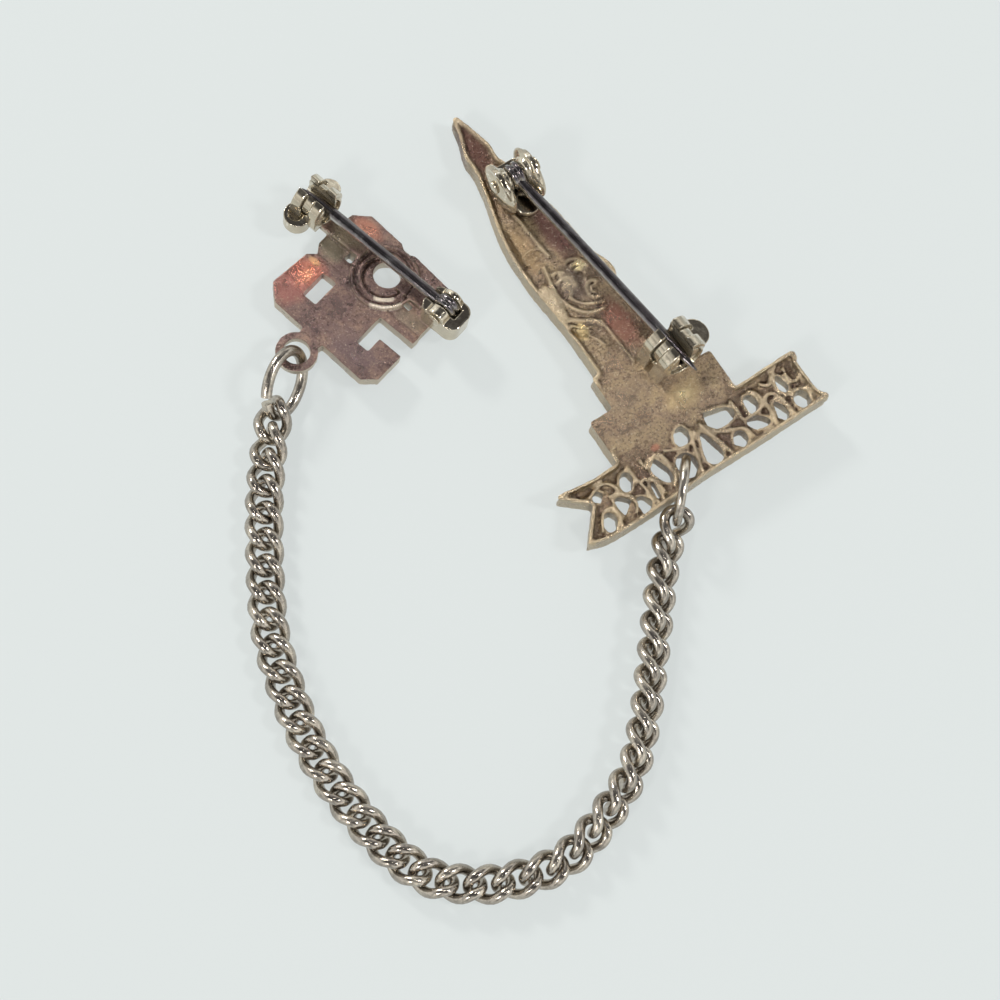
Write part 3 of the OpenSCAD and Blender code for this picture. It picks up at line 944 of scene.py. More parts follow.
GUARD_FINISH = MetalFinish(
    name="cast guard metal", clean=(0.32, 0.215, 0.17), tarnish=(0.175, 0.115, 0.105),
    edge=(0.86, 0.74, 0.60), hollow=(0.06, 0.038, 0.036), cover=0.55, patch=1.5, gloss=(0.27, 0.42),
    grain=0.14, depth=0.06, worn=0.0, glint=0.55, speckle=0.7, wall=(0.66, 0.58, 0.46), wall_reflection_share=0.75,
    place=GUARD,
    stains_and_highlights=(StainOrHighlight((-4.1, -2.4), (1.6, 1.6), (0.56, 0.19, 0.13), 0.7),
            StainOrHighlight((-4.1, -2.7), (0.55, 1.0), (0.97, 0.42, 0.26), 0.75),
            StainOrHighlight((-4.4, -1.3), (0.6, 0.3), (0.80, 0.50, 0.24), 0.5),
            StainOrHighlight((-4.3, -4.0), (1.5, 1.6), (0.36, 0.15, 0.125), 0.7),
            StainOrHighlight((-3.3, 3.2), (1.5, 0.8), (0.50, 0.225, 0.155), 0.75),
            StainOrHighlight((-4.1, 0.3), (1.3, 1.0), (0.28, 0.25, 0.18), 0.75),
            StainOrHighlight((2.0, -4.6), (2.6, 1.4), (0.17, 0.12, 0.12), 0.6),
            StainOrHighlight((-3.9, 1.75), (1.8, 0.9), (0.38, 0.31, 0.21), 0.7),
            StainOrHighlight((3.6, -0.1), (1.6, 0.8), (0.30, 0.25, 0.18), 0.5),
            StainOrHighlight((-1.35, -0.7), (0.5, 0.9), (0.07, 0.05, 0.05), 0.7),
            # Painted highlights along the two edges of the raised ring
            *painted_ring_highlights(2.4, -72, -24), *painted_ring_highlights(1.76, -70, -30)))
FINDING_FINISH = MetalFinish(
    name="pale gold finding", clean=(0.75, 0.69, 0.56), tarnish=(0.44, 0.385, 0.30),
    edge=(0.95, 0.90, 0.79), hollow=(0.20, 0.16, 0.12), cover=0.4, patch=1.1, gloss=(0.08, 0.2),
    grain=0.4, depth=0.006, worn=0.5, glint=0.05, speckle=0.25, wall=(0.68, 0.61, 0.47), wall_reflection_share=0.5,
    dull=0.22)
STEM_FINISH = MetalFinish(
    name="drawn steel stem", clean=(0.21, 0.20, 0.20), tarnish=(0.12, 0.105, 0.11),
    edge=(0.75, 0.73, 0.70), hollow=(0.05, 0.045, 0.045), cover=0.5, patch=0.9, gloss=(0.13, 0.26),
    grain=0.25, depth=0.012, worn=0.0, glint=0.15, speckle=0.35, wall=(0.68, 0.65, 0.60), wall_reflection_share=0.7)
CHAIN_FINISH = MetalFinish(
    name="worn chain metal", clean=(0.61, 0.55, 0.46), tarnish=(0.38, 0.34, 0.295),
    edge=(0.70, 0.63, 0.52), hollow=(0.10, 0.08, 0.068), cover=0.5, patch=1.5, gloss=(0.15, 0.27),
    grain=0.25, depth=0.015, worn=0.45, glint=0.1, speckle=0.35)


def present(piece: Piece, name: str, place: PinFrame, finish: MetalFinish,
            body: str = SET_BODY, stands_for: Sequence[str] = ()) -> None:
    """Lay a finished piece in its place, dress it and let it ride on its body.

    Args:
        piece: The piece, in its pin's own millimetres.
        name: Its name.
        place: The pin that it belongs to.
        finish: Its metal.
        body: The body that it rides on.
        stands_for: The nodes that it replaces.
    """
    piece.name = name
    piece.data.name = name
    piece.matrix_world = place.matrix() @ piece.matrix_world
    Bench.settle(piece)
    bpy.ops.object.shade_smooth_by_angle(angle=SMOOTH_ANGLE)
    piece.data.materials.clear()
    piece.data.materials.append(finish.material())
    if stands_for:
        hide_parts(*stands_for)
    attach(piece, body)
    log.info("%s: %d faces on %s", name, len(piece.data.polygons), body)


@dataclass
class SafetyCatch:
    """A turning safety catch about the line of the stem, which runs along Y on the bench.

    Attributes:
        place: The pin that it is on.
        at: Middle of its barrel.
        turn: Turn about Z, in degrees.
        radius: Radius of the barrel.
        length: Length of the barrel.
        reach: How far the thumb wing stands out from the barrel.
        height: Height of the stem's line above the plate.
        rim: Thickness of the barrel's wall.
        groove: Width of the groove that the flange runs in.
        dome: How far the front bulges.
        flange_w: Width of the flange.
        flange_in: How far the flange stays below the barrel's outside.
        mouth: Width of the slots.
        gap: Play between the drum and the barrel.
        wing_r: Radius of the thumb wing.
        wing_t: Thickness of the thumb wing.
        wing_drop: How far the thumb wing hangs down, in degrees.
        foot_in: How much narrower the foot is than the barrel, on each side.
        foot_out: How far the foot's flare stands out.
        sunk: How far the foot reaches into the plate.
        passes: How often the skins are smoothed.
    """

    place: PinFrame
    at: Point
    turn: float
    radius: float
    length: float
    reach: float
    height: float
    rim: float = 0.52
    groove: float = 0.8
    dome: float = 0.36
    flange_w: float = 0.68
    flange_in: float = 0.26
    mouth: float = 1.16
    gap: float = 0.05
    wing_r: float = 1.1
    wing_t: float = 0.8
    wing_drop: float = 18.0
    foot_in: float = 0.3
    foot_out: float = 0.45
    sunk: float = 0.05
    passes: int = 9

    def housing(self) -> Piece:
        """Build the barrel of two rims on its flared foot, with smooth flanks and a domed front.

        Returns:
            The housing.
        """
        r, half, low = self.radius, self.length / 2, -self.height - self.sunk
        foot, slot = r - self.foot_in, self.mouth / 2
        barrel = Bench.cylinder(r, self.length, ORIGIN, Axis.Y, 2 * Bench.SIDES)
        Bench.shape(barrel, Bench.block((-foot, -half, low), (foot, half, 0)), "UNION")
        Bench.shape(barrel, Bench.ball((0, -half, -0.2 * r), (0.9 * r, self.dome, 0.85 * r)), "UNION")
        Bench.cut(
            barrel,
            Bench.cylinder(r - self.rim, self.length + 1, ORIGIN, Axis.Y),
            Bench.cylinder(r - self.flange_in + 0.08, self.groove, ORIGIN, Axis.Y),
            Bench.block((-r - 1, -self.groove / 2, -0.66 * r), (r + 1, self.groove / 2, 1.4 * r)),
            Bench.block((-slot, -self.length, 0), (slot, self.length, r + 1)))
        # The flanks' inside follows the groove; their outside runs down from the barrel to the flared foot
        near = r - self.flange_in + 0.1
        inside = [(-near * math.cos(turn), -near * math.sin(turn)) for turn in (0.785, 0.35, 0.0)]
        outline = ((-foot - self.foot_out, low), (0.45 - foot, low), *inside, (-near - 0.03, 0.1),
                   (-r, 0.1), (-r - 0.02, -0.25), (-r - 0.3 * self.foot_out, -0.9))
        inner = 0.3 * self.groove
        for side, end in ((-half, -inner), (inner, half)):
            Bench.join(barrel, Bench.move(Bench.prism(outline, side, end), turn=(90, 0, 0)))
        Bench.cast(barrel, FINDING_GRID, self.passes)
        return Bench.move(barrel, self.at, (0, 0, self.turn))

    def rotor(self) -> Piece:
        """Build the slotted drum with its flange and thumb wing.

        Returns:
            The rotor.
        """
        r, slot, wide, thick = self.radius, self.mouth / 2, self.flange_w / 2, self.wing_t / 2
        drum = Bench.cylinder(r - self.rim - self.gap, self.length + 0.1, ORIGIN, Axis.Y)
        flange = Bench.cylinder(r - self.flange_in, self.flange_w, ORIGIN, Axis.Y)
        Bench.shape(drum, flange, "UNION")
        middle = r + self.reach - self.wing_r
        lobe = Bench.cylinder(self.wing_r, self.wing_t, (middle, 0, -thick + 0.4))
        neck = Bench.block((r - 0.9, -wide, -thick), (r + 0.4, wide, thick))
        Bench.cut(lobe, Bench.cylinder(r + 0.12, 2 * self.length, ORIGIN, Axis.Y))
        Bench.join(lobe, neck)
        Bench.join(drum, Bench.move(lobe, turn=(0, self.wing_drop, 0)))
        Bench.cast(drum, FINDING_GRID, self.passes)
        Bench.cut(drum, Bench.cylinder(slot, 2 * self.length, ORIGIN, Axis.Y),
                  Bench.block((-slot, -self.length, 0), (slot, self.length, r)))
        return Bench.move(drum, self.at, (0, 0, self.turn))

    def build(self, name: str, body: str) -> None:
        """Build the housing and the rotor.

        Args:
            name: Name of the catch.
            body: The body that the rotor rides on.
        """
        present(self.housing(), f"{name}_housing", self.place, FINDING_FINISH)
        present(self.rotor(), f"{name}_turning_part", self.place, FINDING_FINISH, body,
                (f"{name}_rotor",))


@dataclass
class PinStem:
    """A stem with its eye at the joint, running along -Y on the bench.

    Attributes:
        place: The pin that it is on.
        at: Middle of the eye.
        turn: Turn about Z, in degrees.
        length: Length from the eye to the point.
        eye_w: Width of the eye.
        wire_turn: Turn of the wire against the eye, in degrees.
        radius: Radius of the wire.
        eye_r: Outer radius of the eye.
        straight: Distances from the eye of the points of the straight wire.
        ground: Distance from the tip and share of the thickness, along the ground point.
    """

    place: PinFrame
    at: Point
    turn: float
    length: float
    eye_w: float
    wire_turn: float = 0.0
    radius: float = 0.425
    eye_r: float = 0.95
    straight: tuple[float, ...] = (0.55, 1.5, 4.0)
    ground: tuple[Flat, ...] = ((2.4, 1.0), (1.5, 0.85), (0.7, 0.5), (0.2, 0.22), (0.0, 0.1))

    def build(self, name: str, body: str) -> None:
        """Build the stem.

        Args:
            name: Name of the node that it replaces.
            body: The body that it rides on.
        """
        coil = self.eye_w / 4
        major = self.eye_r - coil
        eye = Bench.hoop(major, coil, (coil, 0, 0), Axis.X)
        Bench.join(eye, Bench.hoop(major, coil, (-coil, 0, 0), Axis.X))
        steps = [*self.straight, *(self.length - back for back, _ in self.ground)]
        taper = [1.0] * len(self.straight) + [share for _, share in self.ground]
        wire = Bench.wire([(0.0, -step, 0.0) for step in steps], self.radius, False, taper)
        Bench.move(wire, turn=(0, 0, self.wire_turn))
        Bench.join(Bench.cast(eye, FINDING_GRID, 3), wire)
        Bench.move(eye, self.at, (0, 0, self.turn))
        present(eye, f"{name}_wire", self.place, STEM_FINISH, body, (name,))


@dataclass
class BallJoint:
    """The badge's joint: two cheeks on a floor, about the hinge.

    Attributes:
        place: The pin that it is on.
        at: Middle of the rivet.
        height: Height of the rivet above the plate.
        width: Width over both cheeks.
        length: Length of the floor.
        cheek_t: Thickness of a cheek.
        cheek_top: Radius of a cheek's rounded top.
        dimple: Radii of the hoop round the rivet's head on a cheek.
        rivet_r: Radius of the rivet.
    """

    place: PinFrame
    at: Point
    height: float
    width: float = 3.0
    length: float = 3.4
    cheek_t: float = 0.42
    cheek_top: float = 1.3
    dimple: Flat = (0.7, 0.32)
    rivet_r: float = 0.36

    def build(self) -> None:
        """Build the housing and the rivet."""
        half, edge = self.length / 2, self.width / 2 - 0.35
        floor = Bench.block((-edge, -half, -self.height - 0.4), (edge, half, 0.35 - self.height))
        # The rounded front of the floor, and then on each side a cheek that bulges out to the foot
        parts = [Bench.cylinder(0.95, 0.45, (0, -half, 0.175 - self.height))]
        for side in (-1, 1):
            middle = side * (self.width - self.cheek_t) / 2
            parts.append(Bench.cylinder(self.cheek_top, self.cheek_t, (middle, 0, 0), Axis.X))
            parts.append(Bench.ball((side * 1.2, -0.1, -0.7), (0.56, half + 0.3, 1.88)))
            spot = (side * 0.87, 0, 0)
            parts.append(Bench.hoop(*self.dimple, spot, Axis.X))
            parts.append(Bench.cylinder(0.8, 0.5, spot, Axis.X, Bench.SMALL_SIDES))
        Bench.join(floor, *parts)
        Bench.move(Bench.cast(floor, 0.05, 9), self.at)
        present(floor, "badge_joint_housing", self.place, FINDING_FINISH)
        present(rivet(self.at, self.width + 0.5, self.rivet_r, Axis.X), "badge_joint_rivet", self.place,
                FINDING_FINISH, SET_BODY, ("badge_rivet",))


def rivet(at: Point, width: float, radius: float, axis: Axis) -> Piece:
    """Make a rivet with a low head at each end.

    Args:
        at: Its middle.
        width: Width of the joint that it goes through.
        radius: Its radius.
        axis: The way it points, along X or Y.

    Returns:
        The rivet.
    """
    piece = Bench.cylinder(radius, width + 0.1, at, axis, Bench.SMALL_SIDES)
    reach, head, height = width / 2 + 0.04, radius + 0.16, 0.15
    for side in (-1, 1):
        if axis is Axis.X:
            spot, radii = (at[0] + side * reach, at[1], at[2]), (height, head, head)
        else:
            spot, radii = (at[0], at[1] + side * reach, at[2]), (head, height, head)
        Bench.join(piece, Bench.ball(spot, radii))
    return Bench.cast(piece, 0.05, 2)


# The banner's own field, and its openings, in the badge's millimetres
BANNER_FIELD: tuple[Flat, ...] = ((-8.15, 0.05), (9.4, 0.2), (9.4, 3.8), (-7.9, 3.6), (-8.15, 2.6))
OPENINGS: tuple[tuple[Flat, ...], ...] = (
    ((-8.05, 0.15), (-7.55, 0.28), (-7.33, 0.75), (-7.45, 1.14), (-7.85, 1.08), (-8.15, 0.62)),
    ((-6.55, 0.66), (-5.8, 1.28), (-6.3, 1.75), (-6.66, 1.62)),
    ((-7.8, 2.62), (-7.52, 2.36), (-7.22, 2.62), (-7.45, 2.96)),
    ((-5.58, 2.05), (-5.15, 1.98), (-4.86, 2.52), (-4.92, 2.98), (-5.3, 2.94), (-5.64, 2.45)),
    ((-5.3, 0.02), (-4.56, 0.28), (-4.82, 0.88), (-5.2, 1.02)),
    ((-3.98, 0.52), (-3.7, 0.5), (-3.62, 1.4), (-3.92, 1.5)),
    ((-3.08, 2.85), (-3.16, 2.0), (-2.88, 1.2), (-2.42, 0.95), (-2.3, 1.7), (-2.58, 2.65)),
    ((-1.5, 0.7), (-0.9, 0.5), (-0.4, 0.95), (-0.36, 1.7), (-0.95, 2.05), (-1.48, 1.65)),
    ((-0.52, 2.72), (-0.1, 2.56), (0.3, 3.08), (0.22, 3.62), (-0.2, 3.68), (-0.56, 3.25)),
    ((0.22, 0.45), (1.88, 0.4), (1.32, 2.6), (1.04, 2.6)),
    ((2.2, 3.66), (3.8, 3.32), (3.88, 2.5), (2.8, 2.36), (2.02, 2.6)),
    ((2.92, 0.8), (3.3, 0.4), (3.72, 0.72), (3.62, 1.22), (3.12, 1.28)),
    ((4.95, 2.1), (5.35, 1.98), (5.72, 2.5), (5.55, 3.12), (5.05, 3.1)),
    ((4.5, 1.45), (4.85, 0.95), (5.5, 0.72), (5.75, 1.0), (5.3, 1.4), (4.8, 1.72)),
    ((6.82, 2.12), (6.6, 0.92), (6.88, 0.42), (7.28, 0.88)),
    ((7.98, 3.5), (7.7, 2.55), (7.98, 2.05), (8.3, 2.45)),
    ((8.4, 1.4), (8.85, 1.44), (9.05, 0.95), (8.85, 0.6), (8.4, 0.58), (8.18, 1.0)),
)
# Rounded ends of the flame and of the banner's tails: middle and radii
TIPS: tuple[tuple[Point, Point], ...] = (
    ((-0.74, 31.36, 1.3), (0.5, 0.52, 0.58)),
    ((-9.4, 3.8, 1.2), (0.44, 0.36, 0.66)),
    ((-9.55, 0.05, 1.2), (0.44, 0.36, 0.66)),
    ((9.75, 3.8, 1.2), (0.42, 0.42, 0.68)),
    ((10.05, 0.3, 1.2), (0.42, 0.38, 0.66)),
)
# Raised lines of the banner between its openings: their points and radius
BANNER_STROKES: tuple[tuple[tuple[Flat, ...], float], ...] = (
    (((-9.3, 3.3), (-8.3, 2.7), (-7.0, 3.35), (-6.2, 3.0), (-6.0, 2.2), (-6.7, 2.1)), 0.16),
    (((-8.6, 0.3), (-7.9, 1.5), (-7.0, 1.6), (-6.9, 0.6), (-7.2, 0.0)), 0.15),
    (((-6.9, 2.2), (-6.2, 2.1), (-5.5, 1.5), (-5.4, 0.7), (-5.9, 0.2)), 0.15),
    (((-4.6, 3.4), (-4.5, 2.2), (-4.3, 1.2), (-4.4, 0.2)), 0.16),
    (((-4.4, 2.0), (-3.6, 1.9), (-3.3, 1.0), (-3.3, 0.3)), 0.14),
    (((-3.6, 3.4), (-3.5, 2.2), (-2.4, 3.3), (-1.9, 2.4), (-2.0, 0.9), (-2.6, 0.4)), 0.16),
    (((-1.8, 3.0), (-0.9, 2.5), (0.4, 2.4), (0.9, 3.1)), 0.14),
    (((-0.3, 0.2), (0.1, 1.6), (0.6, 3.4)), 0.16),
    (((2.3, 0.2), (1.9, 1.6), (1.4, 3.4)), 0.17),
    (((1.6, 3.0), (2.4, 1.9), (3.2, 1.7), (4.1, 1.4), (4.2, 0.5)), 0.15),
    (((4.2, 3.6), (4.3, 2.6), (4.1, 1.9), (4.7, 1.8), (6.0, 1.9), (6.2, 3.0), (5.6, 3.5)), 0.15),
    (((6.1, 0.3), (6.2, 1.3), (6.3, 2.4), (6.9, 2.6), (7.4, 1.9), (7.6, 0.5)), 0.15),
    (((6.6, 3.5), (7.2, 2.9), (7.5, 3.5), (8.3, 3.9)), 0.15),
    (((7.7, 1.8), (8.5, 1.8), (9.3, 1.6), (9.2, 0.5)), 0.15),
    (((8.7, 3.6), (8.6, 2.6), (9.0, 2.2), (9.4, 2.6)), 0.15),
)
# Raised lines of the tower's back: their points and radius
STROKES: tuple[tuple[tuple[Flat, ...], float], ...] = (
    (((-1.1, 23.3), (-0.95, 21.4), (-0.75, 19.2)), 0.12),
    (((-2.3, 20.2), (-1.6, 20.4), (-1.0, 20.1)), 0.08),
    (((-1.5, 18.8), (-1.75, 17.31), (-1.9, 16.3), (-1.43, 14.97), (-0.57, 14.08), (0.6, 13.9)), 0.15),
    (((-0.1, 18.2), (0.5, 18.35), (1.05, 17.9), (1.25, 17.2)), 0.1),
    (((0.1, 17.8), (0.6, 17.9), (0.95, 17.5), (1.0, 17.0)), 0.09),
    (((0.2, 17.4), (0.6, 17.45), (0.8, 17.1), (0.82, 16.8)), 0.08),
    (((1.2, 15.9), (0.9, 16.2), (0.4, 16.1), (0.05, 15.5), (0.25, 14.95), (0.8, 14.85)), 0.12),
    (((0.9, 15.75), (0.55, 15.8), (0.4, 15.4), (0.7, 15.2)), 0.07),
    (((-1.2, 16.0), (-0.9, 15.3), (-0.3, 14.75), (0.79, 14.35)), 0.1),
    (((-1.35, 17.9), (-0.9, 18.0), (-0.5, 17.7)), 0.1),
    (((-1.4, 17.2), (-0.8, 17.45), (-0.3, 17.0)), 0.09),
    (((-1.3, 16.6), (-0.75, 16.85), (-0.2, 16.4)), 0.1),
    (((-0.9, 17.7), (-0.7, 16.9), (-0.95, 16.0)), 0.08),
    (((-2.4, 14.8), (-1.5, 14.0), (-0.6, 13.6), (-0.3, 12.9)), 0.12),
    (((-2.3, 14.1), (-1.7, 13.4), (-0.9, 13.1)), 0.08),
    (((-0.25, 13.4), (-0.1, 11.6), (0.03, 9.4)), 0.11),
    (((-1.6, 12.9), (-1.2, 12.2), (-1.0, 11.6)), 0.08),
)


@dataclass
class BadgePlate:
    """The cast badge: tower, stepped base and pierced banner in one.

    Attributes:
        place: The badge's frame.
        thick: Thickness of the casting.
        lean: How far its walls lean in at the back.
        rim: Width of the raised rim along its walls.
        grid: Size of the faces of the plain casting's skin.
        relief_grid: Size of the faces of the skin with the relief.
        bumps: Size and depth of the surface's coarse and fine bumps.
        stroke_lift: How high the lines of the tower lie above the sunk back.
        banner_lift: The same for the lines of the banner.
        edge_lift: The same for the raised edges of the openings.
        edge_r: Radius of those edges.
        front_grow: How much larger an opening is than its outline, at the front.
        back_grow: The same at the back.
        edge_grow: The same for its raised edge.
    """

    place: PinFrame
    thick: float = 1.9
    lean: float = 0.16
    rim: float = 0.28
    grid: float = 0.09
    relief_grid: float = 0.096
    bumps: tuple[Flat, ...] = ((1.4, 0.07), (0.3, 0.05))
    stroke_lift: float = 0.09
    banner_lift: float = 0.17
    edge_lift: float = 0.05
    edge_r: float = 0.13
    front_grow: float = 0.22
    back_grow: float = 0.1
    edge_grow: float = 0.3

    def build(self) -> None:
        """Build the casting with its relief."""
        plate = Bench.copy_of("badge_plate", self.place, (-14, -3, -1), (14, 35, self.thick - 0.02))
        Bench.shape(plate, Bench.prism(BANNER_FIELD, 0.02, self.thick - 0.04), "UNION")
        Bench.join(plate, *[Bench.ball(middle, radii) for middle, radii in TIPS])
        Bench.cast(plate, self.grid, 2)
        Bench.sink(plate, BADGE_FIELDS, self.thick, self.rim)
        Bench.cut(plate, Bench.join(*[self._opening(outline) for outline in OPENINGS]))
        Bench.join(plate, *self._rings(), *self._strokes())
        Bench.cast(plate, self.relief_grid, 2)
        Bench.draft(plate, self.thick, self.lean)
        for size, depth in self.bumps:
            Bench.roughen(plate, size, depth)
        Bench.soften(plate, 1)
        present(plate, "badge_casting", self.place, BADGE_FINISH, SET_BODY, ("badge_plate",))

    @staticmethod
    def _grown(outline: Sequence[Flat], by: float) -> list[Flat]:
        """Move the corners of an outline away from its middle.

        Args:
            outline: The outline.
            by: How far they move.

        Returns:
            The larger outline.
        """
        middle = Vector((sum(x for x, _ in outline), sum(y for _, y in outline))) / len(outline)
        ways = [Vector(corner) - middle for corner in outline]
        return [tuple(middle + way * (1.0 + by / way.length)) for way in ways]

    def _opening(self, outline: Sequence[Flat]) -> Piece:
        """Make the tool for one opening, which narrows towards the back of the casting.

        Args:
            outline: The opening's outline.

        Returns:
            The tool.
        """
        wide, narrow = self._grown(outline, self.front_grow), self._grown(outline, self.back_grow)
        tool = Bench.prism(wide, -1.0, 3.0)
        for vertex in tool.data.vertices:
            if vertex.co.z > 1.0:
                near = min(narrow, key=lambda corner: (Vector(corner) - vertex.co.xy).length)
                vertex.co.x, vertex.co.y = near
        return tool

    def _rings(self) -> list[Piece]:
        """Draw the raised, rounded edges of the banner's openings.

        Returns:
            The edges.
        """
        rings = []
        for number, outline in enumerate(OPENINGS):
            corners = self._grown(outline, self.edge_grow)
            first = number % len(corners)
            spots, closed = corners[first:] + corners[:first], number % 3 == 0
            rings.append(self._line(spots, self.edge_r, self.edge_lift, closed))
        return rings

    def _line(self, spots: Sequence[Flat], radius: float, lift: float, closed: bool = False) -> Piece:
        """Draw a raised line on the sunk back.

        Args:
            spots: Its points.
            radius: Its radius.
            lift: How high its centre lies above the back.
            closed: Whether its ends meet.

        Returns:
            The line.
        """
        line = [(*spot, self._back(spot) + lift) for spot in spots]
        return Bench.wire(Bench.round_off(line, closed), radius, closed)

    def _strokes(self) -> list[Piece]:
        """Draw the raised lines of the badge's back and the tower's two bosses.

        Returns:
            The lines and the bosses.
        """
        top = self.thick
        parts = [
            Bench.ball((-0.6, 16.9, top - 0.44), (0.9, 1.3, 0.26)),
            Bench.ball((-2.35, 16.0, top - 0.14), (0.5, 1.7, 0.2)),
        ]
        for strokes, lift in ((STROKES, self.stroke_lift), (BANNER_STROKES, self.banner_lift)):
            parts += [self._line(points, radius, lift) for points, radius in strokes]
        return parts

    def _back(self, spot: Flat) -> float:
        """Return the height of the sunk back at a place."""
        return self.thick - max(recess.at(*spot) for recess in BADGE_FIELDS)


@dataclass
class GuardPlate:
    """The cast guard, with its window, hook, holes, raised ring and eyelet.

    Attributes:
        place: The guard's frame.
        thick: Thickness of the casting.
        grid: Size of the faces of its skin.
        bumps: Size and depth of its surface's coarse and fine bumps.
        axle: Middle of the joint's rivet.
        hoops: Radii of the two thin hoops on the raised ring.
        hoop_t: Radius of their wire.
    """

    place: PinFrame
    thick: float = 1.0
    grid: float = 0.07
    bumps: tuple[Flat, ...] = ((1.1, 0.05), (0.28, 0.03))
    axle: Point = (5.1, 1.55, 2.6)
    hoops: tuple[float, float] = (1.78, 2.36)
    hoop_t: float = 0.14

    def build(self) -> None:
        """Build the casting, its tongues, the box joint and the ear."""
        plate = self._part((-6.2, -10, -1), (3.58, 5, self.thick + 0.41))
        rest = self._part((3.57, -8, -1), (8, 5, self.thick + 0.05))
        Bench.cut(plate, Bench.hoop(1.58, 0.15, (*RING_AT, self.thick)),
                  Bench.hoop(2.08, 0.14, (*RING_AT, self.thick + 0.2)))
        Bench.join(plate, rest, *[Bench.hoop(radius, self.hoop_t, (*RING_AT, self.thick + self.hoop_t))
                                  for radius in self.hoops])
        Bench.cast(plate, self.grid, 2)
        for size, depth in self.bumps:
            Bench.roughen(plate, size, depth)
        Bench.soften(plate, 1)
        present(plate, "guard_casting", self.place, GUARD_FINISH, SET_BODY, ("guard_plate",))
        box = self._part((3.5, 0.3, self.thick + 0.01), (8, 2.8, 5))
        for low, high in ((0.42, 1.2), (2.3, 2.7)):
            cheek = Bench.cylinder(0.86, high - low, (self.axle[0], (low + high) / 2, 2.55), Axis.Y)
            Bench.join(box, cheek)
        Bench.cast(box, FINDING_GRID, 10)
        present(box, "guard_joint_box", self.place, FINDING_FINISH)
        ear = self._part((-9, -2, self.thick - 0.06), (-6.21, 0.6, 5))
        Bench.cast(ear, 0.04, 3)
        present(ear, "guard_catch_ear", self.place, FINDING_FINISH)
        present(rivet(self.axle, 2.4, 0.36, Axis.Y), "guard_joint_rivet", self.place, FINDING_FINISH,
                SET_BODY, ("guard_rivet",))

    def _part(self, low: Point, high: Point) -> Piece:
        """Return a copy of what the guard's solid has in the block between two corners."""
        return Bench.copy_of("guard_plate", self.place, low, high)


